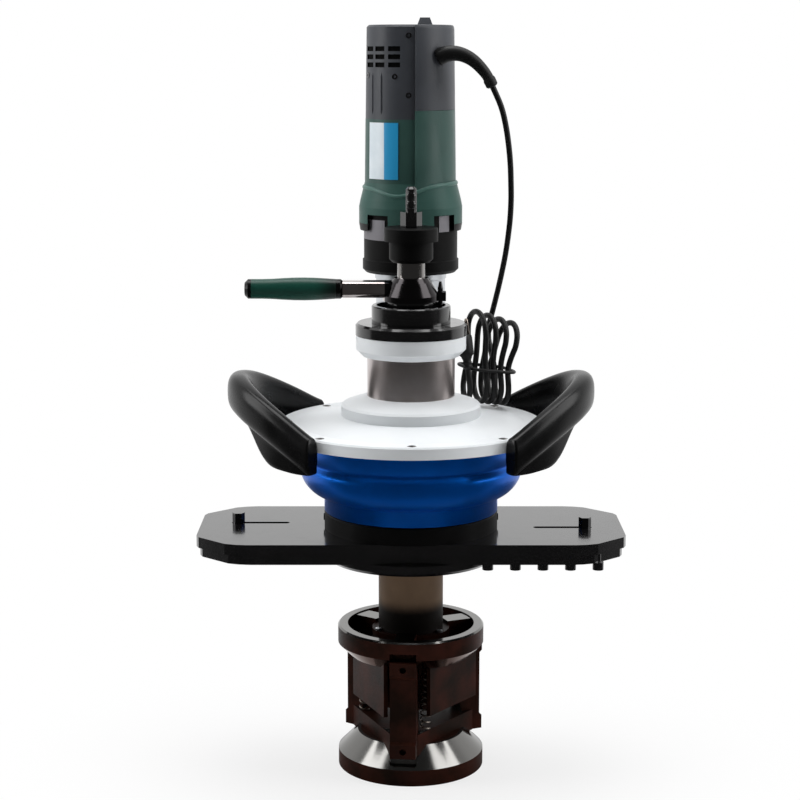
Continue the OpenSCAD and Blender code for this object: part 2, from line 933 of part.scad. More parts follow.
module top_cover() {
  rim_flat = 18;
  color("#ebf0f3")
    difference() {
      union() {
        turned([
          [bush_r + cover_fit, z_cover + 2],
          [journal_r + 5, z_cover + 2],
          [journal_r + 5, z_cover],
          [upper_race_r + cover_fit, z_cover],
          [upper_race_r + cover_fit, z_cover - upper_bearing_h],
          [hub_r, z_cover - upper_bearing_h],
          [hub_r, z_cover],
          [cover_r, z_cover],
          [cover_r, z_cover_top - 1.5],
          [cover_r - 1.5, z_cover_top],
          [cover_r - rim_flat, z_cover_top],
          [hub_r + 2, z_dome],
          [hub_r, z_dome],
          [hub_r, z_hub_top - 2],
          [hub_r - 2, z_hub_top],
          [column_r + 1, z_column],
          [column_r + cover_fit, z_column],
          [column_r + cover_fit, z_column_seat],
          [bush_r + cover_fit, z_column_seat]
        ]);
        at_motor()
          translate([0, 0, z_cover + 4])
            cylinder(r = pad_r, h = z_pad - z_cover - 4);
      }
      at_motor()
        translate([0, 0, z_pad])
          cylinder(r = adapter_r + adapter_clear, h = z_column - z_pad + 1);
      at_motor()
        translate([0, 0, z_pad - 16])
          cylinder(r = 20 + seat_fit, h = 17);
      at_motor()
        translate([0, 0, z_cover - 1])
          cylinder(r = pinion_shaft_r + 3, h = z_pad - z_cover);
      at_cover_screws() {
        translate([0, 0, z_cover - 1])
          cylinder(r = cover_bolt_r + seat_fit, h = cover_h + 2, $fn = 32);
        translate([0, 0, z_cover_top - cover_head_h])
          cylinder(r = cover_head_r + seat_fit, h = cover_head_h + 1, $fn = 32);
      }
      at_handle_bolts()
        cylinder(r = handle_bolt_r + seat_fit, h = 16, $fn = 32);
    }
}

module cover_screws() {
  shank = cover_h - cover_head_h - 0.2;
  color("#3a3c3e")
    at_cover_screws() {
      translate([0, 0, z_cover + 0.2])
        cylinder(r = cover_bolt_r, h = shank + eps, $fn = 32);
      translate([0, 0, z_cover + 0.2 + shank])
        difference() {
          cylinder(r = cover_head_r, h = cover_head_h - 0.6, $fn = 32);
          translate([0, 0, 1])
            cylinder(r = 2.2, h = 4, $fn = 6);
        }
    }
}

module guide_bush() {
  color("#a8814a")
    difference() {
      ring(bush_r, shaft_r + run_fit, z_cover + 2, z_column_seat - z_cover - 2);
      translate([shaft_r - 1, -key_w / 2 - seat_fit, z_cover])
        cube([12, key_w + 2 * seat_fit, z_column_seat - z_cover + 2]);
    }
}

module feed_key() {
  color("#8d8d8b")
    translate([shaft_r - key_depth, -key_w / 2, z_cover + 4])
      cube([key_depth + 5, key_w, z_column_seat - z_cover - 5]);
}

module column() {
  color("#b9bcc0")
    turned([
      [column_bore_r, z_column_seat],
      [column_r, z_column_seat],
      [column_r, z_flange],
      [nut_flange_r + run_fit, z_flange],
      [nut_flange_r + run_fit, z_nut],
      [column_bore_r, z_nut]
    ]);
}

flange_screw_r = 2;
flange_screw_circle = (ring_r + column_r) / 2;
module at_flange_screws() {
  for (i = [0:3])
    rotate([0, 0, 45 + 90 * i])
      translate([flange_screw_circle, 0, 0])
        children();
}

module collar_ring() {
  chamfer = 6;
  color("#eef1f3")
    difference() {
      turned([
        [column_r + seat_fit, z_ring],
        [ring_r - chamfer, z_ring],
        [ring_r, z_ring + chamfer],
        [ring_r, z_flange],
        [column_r + seat_fit, z_flange]
      ]);
      at_flange_screws()
        translate([0, 0, z_flange - 10])
          cylinder(r = flange_screw_r + seat_fit, h = 12, $fn = 32);
    }
}

flange_r = ring_r + 0.5;
module feed_flange() {
  color("#0e0e0e")
    difference() {
      turned([
        [nut_barrel_r + run_fit, z_flange],
        [flange_r, z_flange],
        [flange_r, z_cup - 2],
        [flange_r - 2, z_cup],
        [nut_barrel_r + run_fit, z_cup]
      ]);
      at_flange_screws() {
        translate([0, 0, z_flange - 1])
          cylinder(r = flange_screw_r + seat_fit, h = flange_h + 2, $fn = 32);
        translate([0, 0, z_cup - 3])
          cylinder(r = flange_screw_r + 1.5 + seat_fit, h = 5, $fn = 32);
      }
    }
}

module flange_screws() {
  color("#242424")
    at_flange_screws() {
      translate([0, 0, z_flange - 9])
        cylinder(r = flange_screw_r, h = 9 + flange_h - 3 + eps, $fn = 32);
      translate([0, 0, z_cup - 3])
        cylinder(r = flange_screw_r + 1.5, h = 2.6, $fn = 32);
    }
}

module feed_nut() {
  rim = 4.5;
  cup_floor = 6;
  nut_hub_r = screw_r + 9;
  color("#111111")
    turned([
      [screw_r + run_fit, z_nut],
      [nut_flange_r, z_nut],
      [nut_flange_r, z_flange - 0.1],
      [nut_barrel_r, z_flange - 0.1],
      [nut_barrel_r, z_cup + 0.2],
      [cup_r, z_cup + 0.2],
      [cup_r, z_cup_top - 1],
      [cup_r - 1, z_cup_top],
      [cup_r - rim, z_cup_top],
      [cup_r - rim, z_cup + cup_floor],
      [nut_hub_r, z_cup + cup_floor],
      [nut_hub_r, z_lever - 0.1],
      [screw_r + run_fit, z_lever - 0.1]
    ]);
}

// Feed lever

arm_z = z_lever + lever_hub_h / 2;
arm_w = 20;
arm_round = 5;
hub_flare_r = screw_r + 13;
hub_neck_r = screw_r + 3;
pawl_x = (screw_r + 9 + cup_r - 4.5) / 2;
pawl_r = 2.2;
pawl_head_r = 2.5;
nose_h = 8;
tang_r = 4.5;
tang_len = grip_len - 12;
module ratchet_lever() {
  slot_depth = 3;
  color("#c9ccd0")
    difference() {
      union() {
        turned([
          [screw_r + 0.2, z_lever],
          [hub_flare_r, z_lever],
          [hub_flare_r, z_lever + 5],
          [hub_neck_r + 3, z_lever_top - 4],
          [hub_neck_r, z_lever_top],
          [screw_r + 0.2, z_lever_top]
        ]);
        translate([-arm_reach, 0, arm_z])
          rotate([0, 90, 0])
            linear_extrude(arm_reach - screw_r - 2)
              rounded_outline(arm_h, arm_w, arm_round);
        translate([0, -6, z_lever])
          difference() {
            cube([pawl_x + 5, 12, nose_h]);
            translate([-1, -1, -1])
              cube([screw_r + 5, 14, nose_h + 2]);
          }
        translate([-arm_reach + eps, 0, arm_z])
          rotate([0, -90, 0])
            cylinder(r = tang_r, h = tang_len + eps, $fn = 32);
      }
      for (s = [-1, 1])
        translate([-arm_reach + 24, s * arm_w / 2, arm_z])
          cube([22, 2 * slot_depth, arm_h * 0.45], center = true);
      translate([pawl_x, 0, z_lever - 1])
        cylinder(r = pawl_r + run_fit, h = nose_h + 2, $fn = 32);
    }
}

function grip_profile(f) = grip_r * (0.86 + 0.14 * sin(180 * min(1, f * 1.25)));
ferrule_len = 6;
module lever_grip() {
  color("#1b5a48")
    translate([-arm_reach - ferrule_len, 0, arm_z])
      rotate([0, -90, 0])
        turned(concat(
          [[tang_r + seat_fit, 0]],
          [for (f = [0:0.125:1]) [grip_profile(f), f * (grip_len - 2 * ferrule_len)]],
          [[tang_r + seat_fit, grip_len - 2 * ferrule_len]]
        ));
}

module grip_cap() {
  end_r = grip_profile(1);
  color("#0b0b0b")
    translate([-arm_reach, 0, arm_z])
      rotate([0, -90, 0]) {
        turned([
          [tang_r + seat_fit, 0],
          [grip_profile(0) - 1.5, 0],
          [grip_profile(0), 2],
          [grip_profile(0), ferrule_len],
          [tang_r + seat_fit, ferrule_len]
        ]);
        turned([
          [0, grip_len - ferrule_len],
          [end_r, grip_len - ferrule_len],
          [end_r, grip_len - 3],
          [end_r - 3, grip_len],
          [0, grip_len]
        ]);
      }
}

module pawl_pin() {
  tip_z = z_cup_top - 7;
  color("#161616")
    translate([pawl_x, 0, 0]) {
      translate([0, 0, tip_z])
        cylinder(r = pawl_r, h = z_lever + nose_h + 0.2 - tip_z, $fn = 32);
      translate([0, 0, z_lever + nose_h + 0.2 - eps])
        cylinder(r = pawl_head_r, h = 3, $fn = 32);
      translate([0, 0, z_lever + nose_h + 3.2 - 2 * eps])
        cylinder(r1 = pawl_head_r, r2 = 1.2, h = 6, $fn = 32);
    }
}

// Drive from the motor

module pinion() {
  color("#6f6c66")
    at_motor() {
      translate([0, 0, z_gear])
        linear_extrude(gear_h)
          rotate(-90 + 180 / pinion_teeth)
            gear_outline(pinion_teeth);
      translate([0, 0, z_gear - 12])
        cylinder(r = pinion_shaft_r, h = z_case + 20 - z_gear + 12);
    }
}

module pinion_bearing() {
  color("#9a9a98")
    at_motor()
      ring(20, pinion_shaft_r + run_fit, z_pad - 16, 15.9);
}

carrier_r = case_r - 14.3;
module planet_carrier() {
  color("#7a7670")
    at_motor() {
      ring(carrier_r, pinion_shaft_r + seat_fit, z_case + 9, 6);
      for (i = [0:2])
        rotate([0, 0, 120 * i])
          translate([0.63 * carrier_r, 0, z_case + 15 - eps])
            cylinder(r = 0.3 * carrier_r, h = 9, $fn = 32);
    }
}

module motor_adapter() {
  foot_h = 6;
  color("#c8ccd0")
    at_motor()
      turned([
        [27, z_pad],
        [adapter_r, z_pad],
        [adapter_r, z_pad + foot_h],
        [adapter_r - 1, z_pad + foot_h + 1],
        [adapter_r - 1, z_case - foot_h - 1],
        [adapter_r, z_case - foot_h],
        [adapter_r, z_case],
        [27, z_case]
      ]);
}

module gear_case() {
  edge = 3;
  color("#121212")
    at_motor()
      turned([
        [pinion_shaft_r + run_fit, z_case],
        [case_r + case_lip - edge, z_case],
        [case_r + case_lip, z_case + edge],
        [case_r + case_lip, z_case + case_flange_h - 1],
        [case_r, z_case + case_flange_h],
        [case_r, z_case_top],
        [armature_shaft_r + run_fit, z_case_top],
        [armature_shaft_r + run_fit, z_case_top - case_floor],
        [case_r - 8, z_case_top - case_floor],
        [case_r - 8, z_case + case_floor],
        [pinion_shaft_r + run_fit, z_case + case_floor]
      ]);
}

module motor_bell() {
  ledge = 6;
  bell_wall = bell_r - case_r - 0.6;
  color("#3f5f58")
    at_motor()
      difference() {
        turned([
          [bell_r - bell_wall, z_bell],
          [bell_r - 1, z_bell],
          [bell_r, z_bell + 6],
          [bell_r, z_bell + 22],
          [bell_r - 1.4, z_bell + 29],
          [barrel_r, z_barrel],
          [barrel_r - wall, z_barrel],
          [barrel_r - wall, z_case_top + ledge],
          [case_r - 4, z_case_top + ledge - 2],
          [case_r - 4, z_case_top + seat_fit],
          [bell_r - bell_wall, z_case_top + seat_fit]
        ]);
        for (s = [-1, 1])
          translate([s * 31 - 9.5, -bell_r - 1, z_bell - 1])
            cube([19, bell_r * 2 + 2, window_h + 0.8]);
      }
}

module motor_barrel() {
  color("#3f5f58")
    at_motor()
      difference() {
        turned([
          [barrel_r - wall, z_barrel],
          [barrel_r, z_barrel],
          [cap_r + cap_flare, z_cap + cap_step],
          [barrel_r - wall, z_cap + cap_step]
        ]);
        translate([-100 + seam_x, -100, z_cap])
          cube([100, 200, cap_step + 1]);
      }
}

module cap_shell() {
  round_r = 2;
  cap_wall = 3.4;
  difference() {
    turned([
      [0, z_top - 4],
      [cap_r - cap_wall, z_top - 4],
      [cap_r - cap_wall, z_cap],
      [cap_r + cap_flare, z_cap],
      [cap_r, z_top - round_r],
      [cap_r - round_r, z_top],
      [0, z_top]
    ]);
    for (column = [[-37.5, 5.6], [-28.6, 8.4], [-15.5, 11]])
      for (row = [0:2])
        translate([column[0] - column[1] / 2, -60, z_top - 24 - 7.3 * row])
          cube([column[1], 120, 4.4]);
  }
}

module cap_left() {
  color("#45474e")
    at_motor()
      intersection() {
        cap_shell();
        translate([-100 + seam_x - 0.05, -100, z_cap])
          cube([100, 200, cap_h + 1]);
      }
}

module cap_right() {
  color("#575a62")
    at_motor()
      difference() {
        intersection() {
          cap_shell();
          translate([seam_x + 0.05, -100, z_cap + cap_step + seat_fit])
            cube([100, 200, cap_h]);
        }
        translate([switch_x - 4, switch_y - 8, z_top - 6])
          cube([8, 16, 10]);
      }
}

switch_x = 13;
switch_y = -8;
switch_travel = 6;
module switch_slider() {
  color("#2c2e32")
    at_motor()
      translate([switch_x, switch_y + switch_travel / 2, z_top]) {
        translate([-3.7, -3.7, -5])
          cube([7.4, 7.4, 5.2]);
        translate([0, 9, 0.2])
          rotate([90, 0, 0])
            linear_extrude(18)
              polygon([[-7, 0], [7, 0], [4.5, 6.5], [-4.5, 6.5]]);
      }
}

module label_plate() {
  label_t = 0.6;
  color("#dfe6ea")
    at_motor()
      rotate([0, 0, -152])
        rotate_extrude(angle = 46)
          polygon([
            [barrel_r + 0.02, z_barrel + 4],
            [barrel_r + label_t, z_barrel + 4],
            [barrel_r + label_t - 0.6, z_cap - 3],
            [barrel_r - 0.58, z_cap - 3]
          ]);
}

stator_bore = barrel_r - wall - 11.7;
rotor_gap = 0.6;
module stator() {
  color("#5d4a3a")
    at_motor()
      ring(barrel_r - wall - seat_fit, stator_bore, z_barrel + 8, barrel_h - 10);
}

plate_z = z_cap + 36;
module armature() {
  color("#7d6a52")
    at_motor() {
      translate([0, 0, z_case + 26])
        cylinder(r = armature_shaft_r, h = plate_z + 8 - z_case - 26, $fn = 32);
      translate([0, 0, z_case + 27])
        cylinder(r = armature_shaft_r + 4.6, h = 8, $fn = 32);
      translate([0, 0, z_barrel + 8])
        cylinder(r = stator_bore - rotor_gap, h = barrel_h - 10);
      translate([0, 0, z_barrel - 18])
        cylinder(r = case_r - 8.3, h = 10);
      translate([0, 0, z_cap + 6])
        cylinder(r = stator_bore / 2, h = 20);
    }
}

module bearing_plate() {
  color("#2a2b2e")
    at_motor()
      difference() {
        ring(cap_r - 3.4 - seat_fit, armature_shaft_r + run_fit, plate_z, 6);
        for (i = [0:5])
          rotate([0, 0, 60 * i])
            translate([22, 0, plate_z - 1])
              cylinder(r = 8, h = 8, $fn = 32);
      }
}

// Handles

// Half of the band, from the middle of the grip to the end of the rear leg
handle_half = [
  // sideways place, depth, lowest point, highest point, thickness factor
  [0, 0, handle_rise - handle_grip_h, handle_rise, 1.35],
  [3, 20, handle_rise - handle_grip_h - 1, handle_rise - 1, 1.32],
  [12, 41, handle_rise - handle_grip_h - 10, handle_rise - 6, 1.2],
  [27, 61, handle_rise - 72, handle_rise - 15, 1.05],
  [46, 79, handle_rise - 77, handle_rise - 27, 1],
  [64, 93, handle_rise - 77, handle_rise - 39, 1],
  [71, 98, handle_rise - 75, handle_rise - 43, 1]
];
handle_mid_x = handle_reach - 1.35 * handle_t / 2;
handle_scale = cover_r / 122;
function handle_station(i) =
  let (q = handle_half[abs(i)])
    [
      handle_mid_x - handle_scale * q[0],
      (i < 0 ? -1 : 1) * handle_scale * q[1],
      z_cover_top + q[2],
      z_cover_top + q[3],
      q[4] * handle_t / 2
    ];
function swell(c) = sign(c) * pow(abs(c), 0.72);

module handle_band() {
  last = len(handle_half) - 1;
  sides = 16;
  stations = [for (i = [-last:last]) handle_station(i)];
  count = len(stations);
  flat = [for (s = stations) [s[0], s[1]]];
  t = tangents(flat);
  points = [
    for (i = [0:count - 1])
      for (k = [0:sides - 1])
        let (
          s = stations[i],
          out = [t[i][1], -t[i][0]],
          w = s[4] * swell(cos(360 * k / sides)),
          h = (s[3] - s[2]) / 2 * swell(sin(360 * k / sides))
        )
          [s[0] + out[0] * w, s[1] + out[1] * w, (s[2] + s[3]) / 2 + h]
  ];
  ring_faces = [
    for (i = [0:count - 2])
      for (k = [0:sides - 1])
        let (a = i * sides + k, b = i * sides + (k + 1) % sides)
          each [[a, b, a + sides], [b, b + sides, a + sides]]
  ];
  end = (count - 1) * sides;
  caps = [
    for (k = [1:sides - 2])
      each [[0, k + 1, k], [end, end + k, end + k + 1]]
  ];
  polyhedron(points, concat(ring_faces, caps), convexity = 10);
}

module handle_right() {
  color("#0a0a0a")
    difference() {
      handle_band();
      cylinder(r = cover_r + seat_fit, h = z_top, $fn = 180);
      at_handle_bolts()
        cylinder(r = handle_bolt_r + seat_fit, h = 60, $fn = 32);
    }
}

module handle_left() {
  mirror([1, 0, 0])
    handle_right();
}

module handle_bolts() {
  color("#2a2a2a")
    at_handle_bolts()
      translate([0, 0, 0.5])
        cylinder(r = handle_bolt_r, h = 26, $fn = 32);
}

// Mains cord

// Centre line of the strain relief, from the motor's cap to the cord
relief_path = [
  [26, motor_y - 30, 657], [33, motor_y - 33, 659.5], [41, motor_y - 35, 660], [49, motor_y - 36, 658],
  [57, motor_y - 36, 653.5], [64, motor_y - 36, 647], [70, motor_y - 35, 639.5], [75, motor_y - 34, 630]
];
relief_lift = z_top - 686;
function lifted(p, dz) = [for (q = p) q + [0, 0, dz]];

module strain_relief() {
  path = lifted(relief_path, relief_lift);
  last = len(path) - 1;
  color("#111111")
    difference() {
      sweep(path, [for (i = [0:last]) 7 - 3 * i / last], 12);
      at_motor()
        cylinder(r = cap_r + cap_flare / 2 + 0.2, h = z_top);
    }
}

// The hank's frame: loops stand upright and lie side by side along the stack direction
hank_turn = -20;
hank_mid = [72, 66, z_cover_top + 35];
hank_across = [sin(hank_turn), cos(hank_turn), 0];
hank_stack = [-cos(hank_turn), sin(hank_turn), 0.13];
hank_up = 60;
hank_down = 28;
hank_steps = 24;
waist_draw = 0.2;
waist_len = 22;
waist_at = 16;
hank_fan = 20;
hank_short = 13;
run_up = hank_up - fold_r;
run_down = hank_down - fold_r;
loop_len = 2 * (run_up + run_down) + 2 * PI * fold_r;

// A point of one loop as distance across and distance up, by its length s along the loop
function loop_point(s) =
  let (run = run_up + run_down, fold = PI * fold_r)
    s < run ? [fold_r, run_up - s]
    : s < run + fold
      ? let (a = (s - run) / fold_r * 180 / PI) [fold_r * cos(a), -run_down - fold_r * sin(a)]
      : s < 2 * run + fold
        ? [-fold_r, -run_down + (s - run - fold)]
        : let (a = (s - 2 * run - fold) / fold_r * 180 / PI) [-fold_r * cos(a), run_up + fold_r * sin(a)];
function drawn(q) = [q[0] * (1 - waist_draw * exp(-pow((q[1] - waist_at) / waist_len, 2))), q[1]];
function ease(f) = f <= 0 ? 0 : f >= 1 ? 1 : f * f * (3 - 2 * f);

// Above the waist the loops fan out, and the first ones are shorter
function fan_at(t) = hank_fan * (1 - 1.3 * t / hank_loops);
function short_at(t) = hank_short * (1 - t / hank_loops);
hank_start = (run_up + 8) / loop_len;
hank_end = hank_loops - 0.44;
plug_shift = 10.5;
function hank_at(t) =
  let (
    q = drawn(loop_point((t - floor(t)) * loop_len)),
    up = max(0, q[1]),
    z = q[1] - short_at(t) * min(1, up / run_up),
    n = hank_pitch * (t - hank_loops / 2) - up * up / (up + 15) * tan(fan_at(t))
      + plug_shift * ease((t - hank_end + 0.5) / 0.5)
  )
    hank_mid + q[0] * hank_across + n * hank_stack + [0, 0, z];
hank_path = [for (t = [hank_start:1 / hank_steps:hank_end]) hank_at(t)];

// Centre line of the free cord, down to a rear swing into the hank's waist
relief_end = relief_path[len(relief_path) - 1] + [0, 0, relief_lift];
cord_points = [
  [83, 55, 612], [87.5, 56.5, 595], [90.5, 59, 577], [92.5, 62.5, 559], [93.5, 66.5, 541], [94, 71, 524],
  [93.5, 76, 506], [92, 82, 488], [90, 88, 471], [87, 94, 453], [83.5, 99.5, 435], [79.5, 104, 417],
  [76, 106.5, 402], [75.5, 105.5, 390], [77, 101.5, 380.5], [79, 96, 371], [81, 91.5, 361.5]
];
cord_route = concat([relief_end], cord_points, [hank_path[0]]);

// Least distance between stretches of the hank that are not neighbours
function least_gap(p, d, skip) = min([
  for (i = [0:len(p) - 1])
    for (j = [i + skip:1:len(p) - 1])
      norm(p[i] - p[j]) - d
]);

module cord() {
  gaps = [for (p = cord_route) for (i = [9:len(hank_path) - 1]) norm(p - hank_path[i]) - cord_d];
  echo(cord_to_hank_gap = min(gaps));
  color("#0c0c0c")
    sweep(cord_route, [for (p = cord_route) cord_d / 2], 10);
}

module cord_hank() {
  echo(hank_least_gap = least_gap(hank_path, cord_d, 9));
  echo(hank_loop_length = loop_len);
  color("#0c0c0c")
    sweep(hank_path, [for (p = hank_path) cord_d / 2], 6);
}

module plug() {
  last = len(hank_path) - 1;
  tip = hank_path[last];
  way = unit(tip - hank_path[last - 1]);
  path = [for (d = [0.1, 4, 10, 12, 30, 33]) tip + way * d];
  color("#0c0c0c")
    sweep(path, [4, 5, 6, 8.6, 9, 8], 16);
}

mandrel_shaft();
upper_cone();
thrust_collar();
return_springs();
lower_cone();
draw_rod();
jaw_front();
jaw_right();
jaw_left();
spindle_sleeve();
head_hub();
hub_screws();
cutter_bar();
slide_plate();
plate_screws();
lower_disc();
dust_seal();
head_bolts();
ring_gear();
tool_slide_right();
clamp_bolt_right();
tool_slide_left();
clamp_bolt_left();
gear_housing();
top_cover();
cover_screws();
guide_bush();
feed_key();
lower_bearing();
upper_bearing();
column();
collar_ring();
feed_flange();
flange_screws();
feed_nut();
ratchet_lever();
lever_grip();
grip_cap();
pawl_pin();
pinion();
pinion_bearing();
planet_carrier();
motor_adapter();
gear_case();
motor_bell();
motor_barrel();
cap_left();
cap_right();
switch_slider();
label_plate();
stator();
armature();
bearing_plate();
handle_left();
handle_right();
handle_bolts();
strain_relief();
cord();
cord_hank();
plug();
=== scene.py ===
# %% [markdown]
# # A pipe beveling machine
# The real machine clamps itself inside a pipe with three jaws and turns a cutter bar round
# the pipe's end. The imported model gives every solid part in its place. This script dresses
# those solids: it sets the camera, light and finishes, and makes the pieces that solids do
# badly, such as the cord, the moulded handles, the springs and the small screws.

# %% Load the frame
import json
import math

import bmesh
import bpy
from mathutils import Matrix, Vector

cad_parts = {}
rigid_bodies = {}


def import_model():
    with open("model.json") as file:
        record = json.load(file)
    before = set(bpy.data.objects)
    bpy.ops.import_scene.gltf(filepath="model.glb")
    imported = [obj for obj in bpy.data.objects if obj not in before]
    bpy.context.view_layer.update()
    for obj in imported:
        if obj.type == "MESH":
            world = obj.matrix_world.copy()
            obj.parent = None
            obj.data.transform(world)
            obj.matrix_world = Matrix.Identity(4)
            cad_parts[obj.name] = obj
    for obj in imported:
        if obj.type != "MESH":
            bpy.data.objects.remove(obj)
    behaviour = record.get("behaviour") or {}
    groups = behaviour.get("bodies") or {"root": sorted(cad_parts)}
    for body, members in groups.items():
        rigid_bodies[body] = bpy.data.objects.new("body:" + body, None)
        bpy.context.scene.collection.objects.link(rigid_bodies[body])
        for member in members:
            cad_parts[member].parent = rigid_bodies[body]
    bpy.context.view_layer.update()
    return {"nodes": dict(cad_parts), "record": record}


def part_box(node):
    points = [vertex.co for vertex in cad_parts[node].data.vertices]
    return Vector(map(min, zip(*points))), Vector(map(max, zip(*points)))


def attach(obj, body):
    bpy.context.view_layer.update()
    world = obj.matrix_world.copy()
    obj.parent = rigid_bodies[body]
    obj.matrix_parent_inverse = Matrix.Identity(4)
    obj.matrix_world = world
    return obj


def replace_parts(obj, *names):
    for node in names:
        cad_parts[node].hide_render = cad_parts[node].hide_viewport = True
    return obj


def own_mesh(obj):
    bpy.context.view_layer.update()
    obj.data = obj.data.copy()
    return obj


for leftover in list(bpy.data.objects):
    bpy.data.objects.remove(leftover)
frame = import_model()
nodes = frame["nodes"]
scene = bpy.context.scene
scene.view_settings.view_transform = "Standard"
MM = 0.001
UP = Vector((0, 0, 1))

# %% [markdown]
# ## Camera
# The photograph looks slightly down on the machine from well back, so upright edges stay
# nearly parallel. A long lens at about 1.8 m gives that. The camera is aimed at a point
# beside the axis, which puts the machine a little right of the middle of the square frame.

# %% Camera
AIM = Vector((-0.0101, 0.0, 0.347))
CAMERA_AT = (-0.0101, -1.7427, 0.6605)
SENSOR_WIDTH, LENS_LENGTH = 36, 86.85


def linked(name, data):
    made = bpy.data.objects.new(name, data)
    scene.collection.objects.link(made)
    return made


def aimed(name, data, place, target):
    """A camera or lamp that stands at a place and looks at a target."""
    made = linked(name, data)
    made.location = place
    made.rotation_euler = (target - made.location).to_track_quat("-Z", "Y").to_euler()
    return made


long_lens = bpy.data.cameras.new("studio_camera")
long_lens.sensor_width = SENSOR_WIDTH
long_lens.lens = LENS_LENGTH
scene.camera = aimed("studio_camera", long_lens, CAMERA_AT, AIM)
print("camera stands", round((AIM - Vector(CAMERA_AT)).length, 3), "m from its aim")

# %% [markdown]
# ## One way to add a node
# Shader and geometry trees are both lists of nodes with links. One small function adds a
# node, sets its properties, and links or fills its inputs. Colours are written as the sRGB
# hex values that a paint chart gives, and one function turns them to linear light.


# %% Helpers for trees and colours
def add(tree, kind, inputs=None, **settings):
    """Adds a node. inputs maps a socket's name or number to a value or to an output socket."""
    made = tree.nodes.new(kind)
    for key, value in settings.items():
        setattr(made, key, value)
    for key, value in (inputs or {}).items():
        if isinstance(value, bpy.types.NodeSocket):
            tree.links.new(value, made.inputs[key])
        else:
            made.inputs[key].default_value = value
    return made


def linear(code):
    """An sRGB hex colour as linear red, green, blue and alpha."""
    parts = [int(code[i : i + 2], 16) / 255 for i in (1, 3, 5)]
    return [c / 12.92 if c <= 0.04045 else ((c + 0.055) / 1.055) ** 2.4 for c in parts] + [1.0]


# %% [markdown]
# ## Centre line of the cord
# The mains cord leaves the motor through a rubber boot, falls in one easy bow behind the
# machine and ends in a tied hank that lies on the cover. Its free run is a short list of
# points. The hank is a rule: upright loops side by side, drawn in at the waist and fanned
# out above it. A spline through all of the points gives one smooth centre line.

# %% Points of the cord
MOTOR_Y = 88
CORD_D = 5.5
BOOT_POINTS = [
    (26, MOTOR_Y - 30, 657), (33, MOTOR_Y - 33, 659.5), (41, MOTOR_Y - 35, 660), (49, MOTOR_Y - 36, 658),
    (57, MOTOR_Y - 36, 653.5), (64, MOTOR_Y - 36, 647), (70, MOTOR_Y - 35, 639.5), (75, MOTOR_Y - 34, 630),
]
FREE_POINTS = [
    (83, 55, 612), (87.5, 56.5, 595), (90.5, 59, 577), (92.5, 62.5, 559), (93.5, 66.5, 541), (94, 71, 524),
    (93.5, 76, 506), (92, 82, 488), (90, 88, 471), (87, 94, 453), (83.5, 99.5, 435), (79.5, 104, 417),
    (76, 106.5, 402), (75.5, 105.5, 390), (77, 101.5, 380.5), (79, 96, 371), (81, 91.5, 361.5),
]
COVER_TOP, HANK_LIFT = 327, 35
HANK_MID = Vector((72, 66, COVER_TOP + HANK_LIFT))
HANK_TURN, STACK_RISE = math.radians(-20), 0.13
ACROSS = Vector((math.sin(HANK_TURN), math.cos(HANK_TURN), 0))
STACK = Vector((-math.cos(HANK_TURN), math.sin(HANK_TURN), STACK_RISE))
LOOPS, PITCH, FOLD_R = 5, 7.4, 20
LOOP_TOP, LOOP_FOOT = 60, 28
RUN_UP, RUN_DOWN = LOOP_TOP - FOLD_R, LOOP_FOOT - FOLD_R
RUN = RUN_UP + RUN_DOWN
FOLD = math.pi * FOLD_R
LOOP_LEN = 2 * (RUN + FOLD)
WAIST_DRAW, WAIST_LEN, WAIST_AT = 0.2, 22, 16
FAN, FAN_FADE, FAN_EASE = 20, 1.3, 15
SHORT, PLUG_SHIFT, PLUG_EASE = 13, 10.5, 0.5
ENTRY_DROP, END_SHORT = 8, 0.44
HANK_START = (RUN_UP + ENTRY_DROP) / LOOP_LEN
HANK_END = LOOPS - END_SHORT
HANK_STEPS, SPLINE_STEPS = 24, 4
print("hank loops", LOOPS, "of", round(LOOP_LEN), "mm")


# %% Rule of the hank
def ease(f):
    f = min(1.0, max(0.0, f))
    return f * f * (3 - 2 * f)


def loop_point(s):
    """Distance across and up, at a length s along one loop. Its second half mirrors its first."""
    if s >= RUN + FOLD:
        across, up = loop_point(s - RUN - FOLD)
        return -across, RUN_UP - RUN_DOWN - up
    if s < RUN:
        return FOLD_R, RUN_UP - s
    a = (s - RUN) / FOLD_R
    return FOLD_R * math.cos(a), -RUN_DOWN - FOLD_R * math.sin(a)


def hank_at(t):
    across, up = loop_point((t - math.floor(t)) * LOOP_LEN)
    across *= 1 - WAIST_DRAW * math.exp(-(((up - WAIST_AT) / WAIST_LEN) ** 2))
    above = max(0.0, up)
    fan = math.radians(FAN * (1 - FAN_FADE * t / LOOPS))
    height = up - SHORT * (1 - t / LOOPS) * min(1.0, above / RUN_UP)
    beside = PITCH * (t - LOOPS / 2) - above * above / (above + FAN_EASE) * math.tan(fan)
    beside += PLUG_SHIFT * ease((t - HANK_END + PLUG_EASE) / PLUG_EASE)
    return HANK_MID + across * ACROSS + beside * STACK + Vector((0, 0, height))


# %% Smooth line of the cord
def through(points, steps):
    """A smooth line through the points, with so many steps between neighbours."""
    found = []
    last = len(points) - 1
    for i in range(last):
        a, b, c, d = (points[min(max(k, 0), last)] for k in (i - 1, i, i + 1, i + 2))
        for k in range(steps):
            f = k / steps
            twice = 2 * b + (c - a) * f
            twice += (2 * a - 5 * b + 4 * c - d) * f**2
            twice += (3 * b - a - 3 * c + d) * f**3
            found.append(twice / 2)
    return found + [points[last]]


